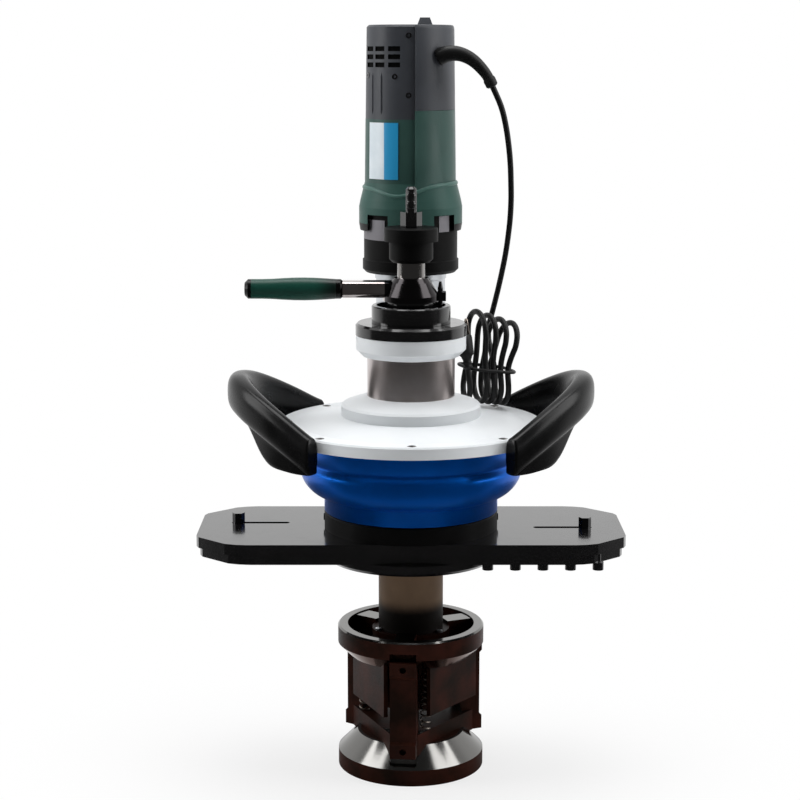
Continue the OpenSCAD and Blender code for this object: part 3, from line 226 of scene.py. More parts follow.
hank_count = int((HANK_END - HANK_START) * HANK_STEPS) + 1
hank_points = [hank_at(HANK_START + i / HANK_STEPS) for i in range(hank_count)]
boot_line = [Vector(p) for p in BOOT_POINTS]
cord_line = through([boot_line[-1], *map(Vector, FREE_POINTS), *hank_points], SPLINE_STEPS)

# %% [markdown]
# ## Shells from loops
# The boot, the plug, the handles and the motor's casing are all lofts: loops of points joined
# by faces, which are then turned outwards. A loft with lids is a bar or a cup. One without
# lids closes on itself as a ring. A swept tube is a loft of round loops along a line. Turning
# each loop as little as possible from the one before keeps the tube from twisting.

# %% Lofts
SHARP = math.radians(30)


def spread(first, last, steps):
    return [first + (last - first) * i / steps for i in range(steps + 1)]


def solid(name, points, faces, smooth=True):
    """A mesh object from points in millimetres."""
    mesh = bpy.data.meshes.new(name)
    mesh.from_pydata([tuple(Vector(p) * MM) for p in points], [], faces)
    mesh.polygons.foreach_set("use_smooth", [smooth] * len(mesh.polygons))
    mesh.validate()
    mesh.update()
    print(name, len(mesh.polygons), "faces")
    return linked(name, mesh)


def looped(name, loops, lid=False, sharp=SHARP):
    """A closed solid from loops of points. With a lid, the first and last loops are filled."""
    count, size = len(loops), len(loops[0])
    faces = []
    for i in range(count - 1 if lid else count):
        here, there = i * size, (i + 1) % count * size
        for k in range(size):
            ahead = (k + 1) % size
            faces.append((here + k, here + ahead, there + ahead, there + k))
    if lid:
        faces.append(tuple(range(size)))
        faces.append(tuple(range((count - 1) * size, count * size)))
    made = solid(name, [p for loop in loops for p in loop], faces)
    shell = bmesh.new()
    shell.from_mesh(made.data)
    bmesh.ops.recalc_face_normals(shell, faces=shell.faces)
    shell.to_mesh(made.data)
    shell.free()
    if sharp:
        made.data.set_sharp_from_angle(angle=sharp)
    return made


# %% Swept tubes
def swept(name, path, radii, sides, closed=False, flat=1.0):
    """A tube along a path, with a radius at each point. flat squeezes its second direction."""
    count = len(path)
    loops = []
    normal = None
    for i, (here, radius) in enumerate(zip(path, radii)):
        ahead = path[(i + 1) % count] if closed or i + 1 < count else here
        behind = path[i - 1] if closed or i else here
        way = (ahead - behind).normalized()
        if normal is None:
            normal = way.cross(UP if abs(way.z) < 0.9 else Vector((1, 0, 0)))
        normal = (normal - way * normal.dot(way)).normalized()
        other = way.cross(normal)
        turns = spread(0, 2 * math.pi, sides)[:-1]
        loops.append([here + radius * (math.cos(a) * normal + flat * math.sin(a) * other) for a in turns])
    return looped(name, loops, lid=not closed, sharp=None)


# %% [markdown]
# ## Cord, boot and plug
# The cord is a curve with a round bevel, so its own line is its centre line and its length
# can be measured. The radius is written on its points, because a curve's box counts that.
# The boot is thick where it enters the cap, tapers, and ends in a small lip. The plug is a
# moulded body with a ribbed neck and two round pins, which stands in the hank where the cord
# ends. A tie holds the hank at its waist.

# %% Cord curve
cord_data = bpy.data.curves.new("mains_cord", "CURVE")
cord_data.dimensions = "3D"
cord_data.bevel_depth = 1.0
cord_data.bevel_resolution = 4
cord_data.use_fill_caps = True
spline = cord_data.splines.new("POLY")
spline.points.add(len(cord_line) - 1)
for point, place in zip(spline.points, cord_line):
    point.co = (*(place * MM), 1)
    point.radius = CORD_D / 2 * MM
spline.use_smooth = True
mains_cord = linked("mains_cord", cord_data)

# %% Boot with a lip
BOOT_R, BOOT_TAPER, BOOT_CURVE = 8.2, 3.6, 0.8
LIP_STEPS, LIP_PROUD, LIP_ROUND = 4, 0.9, 1.2
boot_path = through(boot_line, 6)
boot_last = len(boot_path) - 1
boot_radii = [BOOT_R - BOOT_TAPER * (i / boot_last) ** BOOT_CURVE for i in range(boot_last + 1)]
for i in range(boot_last - LIP_STEPS, boot_last + 1):
    boot_radii[i] += LIP_PROUD
boot_radii[boot_last] -= LIP_ROUND
cord_boot = swept("cord_boot", boot_path, boot_radii, 28)

# %% Plug with a ribbed neck and two pins
# Both profiles are pairs of distance from the cord's end and radius.
PLUG_PROFILE = [
    (0.0, 3.6), (2, 4.4), (3, 5.2), (4, 4.4), (6, 4.8), (7, 5.6), (8, 4.8), (10, 5.2), (11, 6), (12.5, 6.4),
    (14, 8.3), (17, 8.9), (24, 9.0), (30, 8.9), (32, 8.4), (33, 7.4),
]
PIN_PROFILE = [(32, 2.0), (45, 2.0), (47, 1.7), (48, 1.0)]
PIN_SPREAD, PLUG_FLAT = 4.8, 0.8
plug_from = hank_points[-1]
plug_way = (hank_points[-1] - hank_points[-2]).normalized()
pin_side = plug_way.cross(UP).normalized()
mains_plug, *plug_pins = (
    swept(
        name,
        [plug_from + plug_way * d + pin_side * side for d, r in profile],
        [r for d, r in profile],
        sides,
        flat=flat,
    )
    for name, profile, side, sides, flat in (
        ("mains_plug", PLUG_PROFILE, 0.0, 28, PLUG_FLAT),
        ("plug_pin_a", PIN_PROFILE, PIN_SPREAD, 16, 1.0),
        ("plug_pin_b", PIN_PROFILE, -PIN_SPREAD, 16, 1.0),
    )
)
print("plug ends at", [round(v, 1) for v in plug_from + plug_way * PLUG_PROFILE[-1][0]])

# %% Tie round the hank's waist
TIE_STEPS, TIE_R, TIE_DROP, TIE_SQUARE = 48, 1.6, 12, 0.5
TIE_ACROSS = FOLD_R * (1 - WAIST_DRAW) + 5.2
TIE_BESIDE = PITCH * LOOPS / 2 + 5.4
tie_level = Vector((0, 0, WAIST_AT - TIE_DROP))
tie_path = []
for a in spread(0, 2 * math.pi, TIE_STEPS)[:-1]:
    c, s = (math.copysign(abs(v) ** TIE_SQUARE, v) for v in (math.cos(a), math.sin(a)))
    tie_path.append(HANK_MID + TIE_ACROSS * c * ACROSS + TIE_BESIDE * s * STACK + tie_level)
cord_tie = swept("cord_tie", tie_path, [TIE_R] * TIE_STEPS, 10, closed=True)

# %% What the cord is
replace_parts(mains_cord, "cord", "cord_hank")
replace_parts(cord_boot, "strain_relief")
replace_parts(mains_plug, "plug")

# %% [markdown]
# ## White studio
# The machine stands in a white studio: a pale floor, a white surround that the camera and
# the shiny parts both see, and soft boxes to the left, right and above. The room behind the
# camera is darker, which is what gives polished parts their dark middle and bright edges.
# The surround lights the machine less than it shows, so that pale paint does not burn out.

# %% World
ROOM_FROM, ROOM_TO = -0.1, 0.5
ROOM_DARK, ROOM_LIGHT = 0.06, 1.0
FILL_DARK, FILL_LIGHT = 0.05, 0.62
world = bpy.data.worlds.new("white_studio")
scene.world = world
world.use_nodes = True
sky = world.node_tree
sky.nodes.clear()
facing = add(sky, "ShaderNodeSeparateXYZ", {0: add(sky, "ShaderNodeTexCoord").outputs["Generated"]})
ahead = facing.outputs["Y"]
room, fill = (
    add(
        sky,
        "ShaderNodeMapRange",
        {"Value": ahead, "From Min": ROOM_FROM, "From Max": ROOM_TO, "To Min": dark, "To Max": light},
        interpolation_type="SMOOTHSTEP",
    )
    for dark, light in ((ROOM_DARK, ROOM_LIGHT), (FILL_DARK, FILL_LIGHT))
)
rays = add(sky, "ShaderNodeLightPath").outputs
shiny = add(
    sky, "ShaderNodeMath", {0: rays["Is Glossy Ray"], 1: rays["Is Transmission Ray"]}, operation="MAXIMUM"
)
mirrored = add(sky, "ShaderNodeMix", {0: shiny.outputs[0], 2: fill.outputs[0], 3: room.outputs[0]})
strength = add(sky, "ShaderNodeMix", {0: rays["Is Camera Ray"], 2: mirrored.outputs[0], 3: 1.0})
surround = add(sky, "ShaderNodeBackground", {"Color": linear("#ffffff"), "Strength": strength.outputs[0]})
add(sky, "ShaderNodeOutputWorld", {"Surface": surround.outputs[0]})

# %% Floor
FLOOR_HALF = 3000
MELT_FROM, MELT_TO, MELT_SHARE = 0.09, 0.42, 0.74
FRONT_FROM, FRONT_TO = -0.1, 0.3
corners = [(x * FLOOR_HALF, y * FLOOR_HALF, 0) for x, y in ((-1, -1), (1, -1), (1, 1), (-1, 1))]
studio_floor = solid("studio_floor", corners, [(0, 1, 2, 3)], smooth=False)
floor_paper = bpy.data.materials.new("white_paper_floor")
floor_paper.use_nodes = True
tree = floor_paper.node_tree
tree.nodes.clear()
place = add(tree, "ShaderNodeTexCoord").outputs["Object"]
away = add(tree, "ShaderNodeVectorMath", {0: place}, operation="LENGTH")
along = add(tree, "ShaderNodeSeparateXYZ", {0: place})
melt, front = (
    add(
        tree,
        "ShaderNodeMapRange",
        {"Value": value, "From Min": first, "From Max": last, "To Min": low, "To Max": 1.0},
        interpolation_type="SMOOTHSTEP",
    )
    for value, first, last, low in (
        (away.outputs["Value"], MELT_FROM, MELT_TO, MELT_SHARE),
        (along.outputs["Y"], FRONT_FROM, FRONT_TO, ROOM_DARK),
    )
)
rays = add(tree, "ShaderNodeLightPath").outputs
seen = add(tree, "ShaderNodeMath", {0: rays["Is Camera Ray"], 1: rays["Is Glossy Ray"]}, operation="MAXIMUM")
level = add(tree, "ShaderNodeMix", {0: rays["Is Glossy Ray"], 2: 1.0, 3: front.outputs[0]})
paper = add(tree, "ShaderNodeBsdfDiffuse", {"Color": linear("#e8e8e8")})
glow = add(tree, "ShaderNodeEmission", {"Color": linear("#ffffff"), "Strength": level.outputs[0]})
share = add(tree, "ShaderNodeMath", {0: seen.outputs[0], 1: melt.outputs[0]}, operation="MULTIPLY")
mixed = add(tree, "ShaderNodeMixShader", {0: share.outputs[0], 1: paper.outputs[0], 2: glow.outputs[0]})
add(tree, "ShaderNodeOutputMaterial", {"Surface": mixed.outputs[0]})
studio_floor.data.materials.append(floor_paper)

# %% Soft boxes
LAMP_AIM = Vector((0, 0, 0.35))
for name, place, size, power in (
    ("soft_box_right", (1.5, -0.2, 1.25), (0.9, 2.0), 25),
    ("soft_box_left", (-1.55, -0.1, 1.25), (0.8, 1.9), 23),
    ("soft_box_top", (0.0, 0.25, 2.1), (1.4, 1.0), 19),
):
    box_data = bpy.data.lights.new(name, "AREA")
    box_data.shape = "RECTANGLE"
    box_data.size, box_data.size_y = size
    box_data.energy = power
    lamp = aimed(name, box_data, place, LAMP_AIM)
    lamp.visible_camera = False

# %% [markdown]
# ## Finishes
# Each finish starts from what the real surface is and how it was made. Nearly all of them
# need a slow cloud between two tints, a gloss that varies and a fine relief, so one function
# makes them from up to three noises. The noises read Object coordinates in metres, so a
# noise's scale is one over its real size. On turned and ground work the noise is drawn out
# across the axis, which leaves rings. What is the same all over is set on the shader's own
# sockets. A second function lays another coat over part of a finish, such as bare metal.

# %% Starting a finish
STEEP = (0.3, 0.7)
finishes = {}


def per_mm(size):
    """The scale of a pattern whose features are so many millimetres across."""
    return 1 / (size * MM)


def finish_of(name, sockets, tint=None, gloss=None, relief=None):
    """A finish whose tint, gloss and relief each follow a noise. Equal noises share a node.

    A noise is its size in millimetres, its detail and, for rings, its scale across the axis.
    tint is a noise and two colours, gloss is a noise and two roughnesses, and either may end
    with the part of the noise's range that it uses. relief is a noise, a strength and a depth.
    """
    made = finishes[name] = bpy.data.materials.new(name)
    made.use_nodes = True
    tree = made.node_tree
    shader = tree.nodes["Principled BSDF"]
    for label, value in sockets.items():
        shader.inputs[label].default_value = value
    where = add(tree, "ShaderNodeTexCoord").outputs["Object"]
    noises = {}
    for noise in {row[0]: None for row in (tint, gloss, relief) if row}:
        size, detail, *across = noise
        side = across[0] if across else per_mm(size)
        drawn = add(tree, "ShaderNodeMapping", {"Vector": where, "Scale": (side, side, per_mm(size))})
        grain = add(tree, "ShaderNodeTexNoise", {"Vector": drawn.outputs[0], "Scale": 1.0, "Detail": detail})
        noises[noise] = grain.outputs["Fac"]
    if tint:
        noise, low, high, *used = tint
        share = noises[noise]
        if used:
            cut = add(tree, "ShaderNodeMapRange", {"Value": share, "From Min": used[0], "From Max": used[1]})
            share = cut.outputs[0]
        mixed = add(tree, "ShaderNodeMix", {0: share, 6: linear(low), 7: linear(high)}, data_type="RGBA")
        tree.links.new(mixed.outputs[2], shader.inputs["Base Color"])
        shader.inputs["Base Color"].default_value = linear(low)
    if gloss:
        noise, low, high, *used = gloss
        first, last = used or (0.0, 1.0)
        ramp = {"Value": noises[noise], "From Min": first, "From Max": last, "To Min": low, "To Max": high}
        rough = add(tree, "ShaderNodeMapRange", ramp)
        tree.links.new(rough.outputs[0], shader.inputs["Roughness"])
        shader.inputs["Roughness"].default_value = low
    if relief:
        noise, strong, deep = relief
        bump = {"Height": noises[noise], "Strength": strong, "Distance": deep * MM}
        marks = add(tree, "ShaderNodeBump", bump)
        tree.links.new(marks.outputs[0], shader.inputs["Normal"])
    print("finish", name, "from", len(noises), "noises")


# %% Laying a second coat
def second_coat(name, share, colour, bare_roughness=None):
    """Lays a colour over a finish where share is 1. With a roughness, it is bare metal there."""
    tree = finishes[name].node_tree
    shader = tree.nodes["Principled BSDF"]
    under = shader.inputs["Base Color"].links[0].from_socket
    mixed = add(tree, "ShaderNodeMix", {0: share, 6: under, 7: colour}, data_type="RGBA")
    tree.links.new(mixed.outputs[2], shader.inputs["Base Color"])
    if bare_roughness is not None:
        dull = shader.inputs["Roughness"].links[0].from_socket
        rough = add(tree, "ShaderNodeMix", {0: share, 2: dull, 3: bare_roughness})
        tree.links.new(rough.outputs[0], shader.inputs["Roughness"])
        tree.links.new(share, shader.inputs["Metallic"])


# %% [markdown]
# ### Oxidised steel of the mandrel
# The cones and jaws are turned steel with a hot oxide finish, brown-black and red where the
# oxide is thin. The outer sloped faces of the cones and the top of the rim are machined bright
# afterwards. Sloped faces further in, where shade falls, are kept dark oxide as painted shade,
# and bare faces that look down take a darker brown as painted shade. On those two pieces the
# way that a face looks, and how far out it lies, decide whether it is oxide or bare metal.
# The jaws are oxide all over.

# %% Oxidised steel
for name in ("oxide_on_turned_steel", "oxide_on_forged_jaw"):
    finish_of(
        name,
        {"Specular IOR Level": 0.06},
        tint=((30, 4), "#1c100a", "#391a12", 0.35, 0.7),
        gloss=((1.4, 2), 0.32, 0.46, *STEEP),
        relief=((0.9, 1, 2.0), 0.06, 0.2),
    )

# %% Machined faces of the cones, with painted shade inside and below
# Sloped faces inside this radius and below this height keep oxide as painted shade.
UNSHADED_FROM_R, UNSHADED_FROM_Z, BARE_ROUGH = 47, 134, 0.13
SLOPE_FROM, SLOPE_TO = 0.2, 0.4
# Bare metal colour, and a darker brown painted as shade on faces that look down.
BRIGHT, SHADED_UNDERSIDE = linear("#72716f"), linear("#6e4c3f")
tree = finishes["oxide_on_turned_steel"].node_tree
surface = add(tree, "ShaderNodeTexCoord").outputs
looks = add(tree, "ShaderNodeSeparateXYZ", {0: surface["Normal"]}).outputs["Z"]
slope = add(tree, "ShaderNodeMath", {0: looks}, operation="ABSOLUTE")
sloped = add(
    tree,
    "ShaderNodeMapRange",
    {"Value": slope.outputs[0], "From Min": SLOPE_FROM, "From Max": SLOPE_TO},
    interpolation_type="SMOOTHSTEP",
)
flat = add(tree, "ShaderNodeVectorMath", {0: surface["Object"], 1: (1, 1, 0)}, operation="MULTIPLY")
out = add(tree, "ShaderNodeVectorMath", {0: flat.outputs[0]}, operation="LENGTH").outputs["Value"]
height = add(tree, "ShaderNodeSeparateXYZ", {0: surface["Object"]}).outputs["Z"]
# Sloped faces further in and lower stay dark oxide: painted shade where the cones shade themselves.
outer, upper = (
    add(tree, "ShaderNodeMath", {0: value, 1: edge * MM}, operation="GREATER_THAN").outputs[0]
    for value, edge in ((out, UNSHADED_FROM_R), (height, UNSHADED_FROM_Z))
)
either = add(tree, "ShaderNodeMath", {0: outer, 1: upper}, operation="MAXIMUM")
bare = add(tree, "ShaderNodeMath", {0: sloped.outputs[0], 1: either.outputs[0]}, operation="MULTIPLY")
# Bare faces that look down take a darker brown: painted shade.
below = add(tree, "ShaderNodeMath", {0: looks, 1: 0.0}, operation="LESS_THAN")
metal = add(tree, "ShaderNodeMix", {0: below.outputs[0], 6: BRIGHT, 7: SHADED_UNDERSIDE}, data_type="RGBA")
second_coat("oxide_on_turned_steel", bare.outputs[0], metal.outputs[2], BARE_ROUGH)

# %% [markdown]
# ### Ground and turned steel
# The gears, bearings and springs are bare ground steel. Grinding leaves rings that are far
# finer than a pixel, so they are drawn about 0.6 mm apart, as coarse as it takes to show.
# The mandrel's shaft has gone brown with oil and heat, so it is dull. The column under the
# feed flange is ground smooth, grey with a brown bloom, and blurs the studio into a dark
# middle and lighter flanks. The gear case in the motor's windows is dull zinc.

# %% Ground steel, shaft, column and zinc
GROUND_RINGS = (0.6, 2, 6.0)
for name, metallic, shine, cloud, low, high, gloss, strong in (
    ("ground_steel", 1.0, 0.5, (30, 3), "#6d6159", "#9c938b", (0.2, 0.42), 0.15),
    ("oil_browned_shaft", 0.0, 0.15, (26, 4), "#675240", "#7e6751", (0.5, 0.62), 0.006),
    ("ground_column", 1.0, 0.5, (26, 4), "#b0a4a0", "#d8d2d2", (0.27, 0.3), 0.006),
    ("dull_zinc", 0.5, 0.5, (26, 4), "#69676b", "#828085", (0.45, 0.55), 0.006),
):
    finish_of(
        name,
        {"Metallic": metallic, "Specular IOR Level": shine},
        tint=(cloud, low, high),
        gloss=(GROUND_RINGS, *gloss),
        relief=(GROUND_RINGS, strong, 0.1),
    )

# %% [markdown]
# ### Black oxide on the cutter head
# The bar, hub and collars are blackened steel with a thin oil film. Seen straight on it is
# black. Seen at a flat angle, as on top of the bar, the film mirrors the white studio and
# looks satin grey. That is gloss, so it comes from the shader and not from the colour.

# %% Black oxide
finish_of(
    "oiled_black_oxide",
    {"IOR": 1.55, "Coat Weight": 0.25, "Coat Roughness": 0.06},
    tint=((18, 4), "#070708", "#141314"),
    gloss=((18, 4), 0.1, 0.18, *STEEP),
    relief=((0.5, 1), 0.03, 0.1),
)

# %% [markdown]
# ### Enamel and powder coat
# The gear housing is sprayed with a blue metallic enamel, which is bright where it mirrors
# the studio and deep where it does not, and has the slight orange peel of a sprayed casting.
# The cover and the collar ring are white powder coat, which is duller and has a finer pebble.

# %% Blue enamel and white powder coat
finish_of(
    "blue_metallic_enamel",
    {"Metallic": 0.8, "Specular IOR Level": 0.1, "Coat Weight": 0.06, "Coat Roughness": 0.1},
    tint=((40, 3), "#0054b4", "#006cdc"),
    gloss=((2.2, 2), 0.3, 0.42),
    relief=((2.2, 2), 0.1, 0.3),
)
finish_of(
    "white_powder_coat",
    {},
    tint=((55, 4), "#dfe3e6", "#eceff1"),
    gloss=((1.1, 2), 0.34, 0.5),
    relief=((1.1, 2), 0.12, 0.2),
)

# %% [markdown]
# ### Bright metals
# The lever is hard chrome, the tube under the motor is turned aluminium and the guide bush is
# bronze. Chrome is a mirror with fine smears; aluminium keeps its turning lines; bronze is
# warm and a little dull.

# %% Chrome, aluminium and bronze
finish_of(
    "chrome_with_black_hub",
    {"Metallic": 1.0},
    tint=((14, 5), "#a1938e", "#c6c3c3"),
    gloss=((14, 5), 0.06, 0.22),
)
finish_of(
    "turned_aluminium",
    {"Base Color": linear("#c9ccd0"), "Metallic": 1.0},
    gloss=((0.8, 1, 4.0), 0.26, 0.34),
    relief=((0.8, 1, 4.0), 0.03, 0.1),
)
finish_of("cast_bronze", {"Metallic": 1.0, "Roughness": 0.36}, tint=((6, 4), "#8a6534", "#bd985f"))

# %% [markdown]
# ### Moulded plastics and rubber
# The handles are glossy black nylon, the motor's shells are grained ABS in green and grey,
# the grip is a softer green plastic, and the cord is rubber. Their grain is a fine pebble
# that the mould leaves, with a slow drift in gloss where hands have polished it. The black
# paint on castings and the varnish on the motor's core look much the same, so they are here.

# %% Plastics
DRIFT = (28, 3)
for name, low, high, gloss, grain_mm, strong, shine in (
    ("glossy_black_nylon", "#050505", "#0a0a0b", (0.2, 0.3), 1.6, 0.05, 0.2),
    ("grained_green_abs", "#284540", "#375750", (0.36, 0.5), 0.9, 0.14, 0.28),
    ("green_abs_with_black_and_shaded_tips", "#2f4d47", "#3d5e57", (0.36, 0.5), 0.9, 0.14, 0.14),
    # The lighter green below is a painted highlight for the bell's bead.
    ("green_abs_painted_highlight", "#3c5f57", "#4a6f67", (0.36, 0.46), 0.9, 0.1, 0.28),
    ("grained_grey_abs", "#36383d", "#42454b", (0.36, 0.5), 0.9, 0.14, 0.28),
    ("rubbed_grey_abs", "#6f7278", "#808389", (0.36, 0.46), 0.9, 0.1, 0.3),
    ("satin_black_casting", "#080808", "#0d0d0d", (0.44, 0.56), 0.9, 0.1, 0.08),
    ("painted_shade_matt_black", "#020202", "#040404", (0.85, 0.95), 1.0, 0.05, 0.1),
    ("green_grip_plastic", "#0d3b32", "#154d3f", (0.3, 0.44), 1.2, 0.08, 0.3),
    ("black_cord_rubber", "#0b0b0b", "#151515", (0.4, 0.58), 0.8, 0.1, 0.3),
    ("varnished_motor_core", "#4d3b2c", "#6b5640", (0.4, 0.6), 1.5, 0.2, 0.5),
):
    finish_of(
        name,
        {"Specular IOR Level": shine},
        tint=(DRIFT, low, high),
        gloss=(DRIFT, *gloss, *STEEP),
        relief=((grain_mm, 2), strong, 0.2),
    )

# %% Black tips on the bell's ears, partly painted shade
# Both ears are darkened at their lower ends: partly their own black tips, partly painted shade down their
# outer edges.
TIP_Z, TIP_X = 503, 37
tree = finishes["green_abs_with_black_and_shaded_tips"].node_tree
place = add(tree, "ShaderNodeSeparateXYZ", {0: add(tree, "ShaderNodeTexCoord").outputs["Object"]})
low = add(tree, "ShaderNodeMath", {0: place.outputs["Z"], 1: TIP_Z * MM}, operation="LESS_THAN")
side = add(tree, "ShaderNodeMath", {0: place.outputs["X"]}, operation="ABSOLUTE")
far = add(tree, "ShaderNodeMath", {0: side.outputs[0], 1: TIP_X * MM}, operation="GREATER_THAN")
tip = add(tree, "ShaderNodeMath", {0: low.outputs[0], 1: far.outputs[0]}, operation="MULTIPLY")
second_coat("green_abs_with_black_and_shaded_tips", tip.outputs[0], linear("#0b0c0c"))

# %% [markdown]
# ### Label, and coats that follow one coordinate
# The label on the motor is a bare printed film: a white panel beside a blue one. The lever's
# hub is blackened, and the shaft's upper end is polished steel. Each of these changes at a
# straight edge, so one coordinate decides where its second coat begins. Two coats fade in
# instead: painted shade towards the shaft's foot, where the bowl shades the shaft and is
# mirrored dark in it, and darker plastic towards both ends of the grip.

# %% Coats that fade in
for name, axis, middle, clear, full, colour in (
    # The shaft darkens towards its foot: painted shade and a painted dark reflection of the bowl.
    ("oil_browned_shaft", "Z", 0, 164, 150, "#140e0a"),
    ("green_grip_plastic", "X", -114.5, 24, 47, "#0c1c18"),
):
    tree = finishes[name].node_tree
    place = add(tree, "ShaderNodeSeparateXYZ", {0: add(tree, "ShaderNodeTexCoord").outputs["Object"]})
    along = add(tree, "ShaderNodeMath", {0: place.outputs[axis], 1: middle * MM}, operation="SUBTRACT")
    away = add(tree, "ShaderNodeMath", {0: along.outputs[0]}, operation="ABSOLUTE")
    fade = add(
        tree,
        "ShaderNodeMapRange",
        {"Value": away.outputs[0], "From Min": clear * MM, "From Max": full * MM},
        interpolation_type="SMOOTHSTEP",
    )
    second_coat(name, fade.outputs[0], linear(colour))

# %% Label film, and coats that start at an edge
finish_of("printed_film", {"Roughness": 0.3}, tint=((12, 2), "#c9d6de", "#e3ebf0"))
for name, axis, edge, colour, roughness in (
    ("printed_film", "X", -25, "#2294c8", None),
    ("chrome_with_black_hub", "X", -24, "#343233", None),
    ("oil_browned_shaft", "Z", 440, "#8d8a88", 0.12),
):
    tree = finishes[name].node_tree
    place = add(tree, "ShaderNodeSeparateXYZ", {0: add(tree, "ShaderNodeTexCoord").outputs["Object"]})
    past = add(tree, "ShaderNodeMath", {0: place.outputs[axis], 1: edge * MM}, operation="GREATER_THAN")
    second_coat(name, past.outputs[0], linear(colour), roughness)

# %% [markdown]
# ### Dressing the solids
# Every solid has a material slot in the record, and takes the finish of its slot. A few
# solids have a finish of their own. A function dresses the pieces that are made here, first
# the cord's and then those that follow.

# %% Each solid takes the finish of its slot
SLOT_FINISH = {
    "oxide_steel": "oxide_on_turned_steel",
    "ground_steel": "ground_steel",
    "black_steel": "oiled_black_oxide",
    "blue_paint": "blue_metallic_enamel",
    "white_paint": "white_powder_coat",
    "chrome": "chrome_with_black_hub",
    "handle_black": "glossy_black_nylon",
    "motor_green": "grained_green_abs",
    "motor_grey": "grained_grey_abs",
    "grip_green": "green_grip_plastic",
    "aluminium": "turned_aluminium",
    "bronze": "cast_bronze",
    "motor_core": "varnished_motor_core",
    "cord_black": "black_cord_rubber",
    "label_white": "printed_film",
}
NODE_FINISH = {
    "mandrel_shaft": "oil_browned_shaft",
    "column": "ground_column",
    "switch_slider": "rubbed_grey_abs",
    "motor_bell": "green_abs_with_black_and_shaded_tips",
    **dict.fromkeys(("gear_case", "thrust_collar", "head_hub"), "satin_black_casting"),
    **dict.fromkeys(("jaw_front", "jaw_right", "jaw_left"), "oxide_on_forged_jaw"),
}
for row in frame["record"]["subparts"]:
    mesh = nodes[row["node"]].data
    mesh.materials.clear()
    mesh.materials.append(finishes[NODE_FINISH.get(row["node"], SLOT_FINISH[row["material_slot"]])])
print("finishes", len(finishes))


# %% Pieces of the machine take their finish
def worn(piece, slot, finish=None):
    """Rides a piece on the machine, with its slot's finish or one of its own."""
    piece.data.materials.append(finishes[finish or SLOT_FINISH[slot]])
    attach(piece, "machine")
    return piece


for piece in (mains_cord, cord_boot, mains_plug, cord_tie):
    worn(piece, "cord_black")
for pin in plug_pins:
    worn(pin, "ground_steel")

# %% [markdown]
# ## Moulded handles
# Each handle is one broad bow, moulded in a single piece: a fat rounded rim to hold, and a
# thinner skirt below its inner half that widens into the two legs on the cover. The solid has
# the same stations. Here they are joined by a smooth line, given the rim and skirt in section,
# and subdivided.

# %% Handles
HANDLE_T, HANDLE_GRIP, HANDLE_RISE, HANDLE_REACH = 16, 35, 46, 168
GRIP_SWELL = 1.35
HANDLE_MID_X = HANDLE_REACH - GRIP_SWELL * HANDLE_T / 2
HANDLE_HALF = [
    # inward place, depth, drop of the lowest and of the highest point, thickness
    (0, 0, HANDLE_GRIP, 0, GRIP_SWELL),
    (3, 20, HANDLE_GRIP + 1, 1, 1.32),
    (12, 41, HANDLE_GRIP + 10, 6, 1.2),
    (27, 61, 72, 15, 1.05),
    (46, 79, 77, 27, 1),
    (64, 93, 77, 39, 1),
    (71, 98, 75, 43, 1),
]
RIM_H, RIM_SQUARE = 34, 0.72
SKIRT_OUTER, SKIRT_INNER = 0.04, 0.88
RIM_STEPS, SKIRT_STEPS = 11, 5


def handle_side(height, skirt):
    """One side of a section, top to bottom: share of the half thickness, and drop below the top."""
    rim = min(RIM_H, height)
    tuck = math.acos(skirt ** (1 / RIM_SQUARE))
    side = []
    for a in spread(math.pi / 2, -tuck, RIM_STEPS):
        up = math.copysign(abs(math.sin(a)) ** RIM_SQUARE, a)
        side.append((max(0.0, math.cos(a)) ** RIM_SQUARE, (1 - up) * rim / 2))
    drop = side[-1][1]
    return side + [(skirt, d) for d in spread(drop, height, SKIRT_STEPS)[1:]]


def handle_piece(name, side):
    last = len(HANDLE_HALF) - 1
    middles, sizes = [], []
    for i in range(-last, last + 1):
        inward, depth, foot, top, thick = HANDLE_HALF[abs(i)]
        level = COVER_TOP + HANDLE_RISE - (foot + top) / 2
        middles.append(Vector((HANDLE_MID_X - inward, math.copysign(depth, i), level)))
        sizes.append(Vector((thick * HANDLE_T / 2, (foot - top) / 2, 0)))
    middles, sizes = through(middles, SPLINE_STEPS), through(sizes, SPLINE_STEPS)
    loops = []
    for i, (middle, size) in enumerate(zip(middles, sizes)):
        way = middles[min(i + 1, len(middles) - 1)] - middles[max(i - 1, 0)]
        out = Vector((way.y, -way.x, 0)).normalized()
        outer, inner = (handle_side(2 * size.y, skirt) for skirt in (SKIRT_OUTER, SKIRT_INNER))
        loop = []
        for across, drop in outer + [(-a, d) for a, d in inner[:0:-1]]:
            place = middle + out * size.x * across + Vector((0, 0, size.y - drop))
            loop.append((side * place.x, place.y, place.z))
        loops.append(loop)
    made = looped(name, loops, lid=True)
    rounding = made.modifiers.new("rounding", "SUBSURF")
    rounding.levels = rounding.render_levels = 1
    return worn(made, "handle_black")


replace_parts(handle_piece("moulded_handle_right", 1), "handle_right")
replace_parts(handle_piece("moulded_handle_left", -1), "handle_left")

# %% [markdown]
# ## Gear housing
# The housing is a casting whose belly sits high, above an upright band as wide as the hub.
# The solid's belly sits lower, to leave room for the ring gear. So a copy of the solid is
# drawn upwards: each point on the outer wall is lifted by a rule that keeps the two rims
# where they are. The wall inside rises with it and the casting stays closed.

# %% Housing with a raised belly
WALL_FROM_R, MERGE_DIST = 79.9, 0.002
LIFTS = [(246, 0), (251, 9.5), (276, 10), (277, 15), (283, 15), (316, 0)]


def lifted(height):
    for (low, a), (high, b) in zip(LIFTS, LIFTS[1:]):
        if low <= height <= high:
            return height + a + (b - a) * (height - low) / (high - low)
    return height


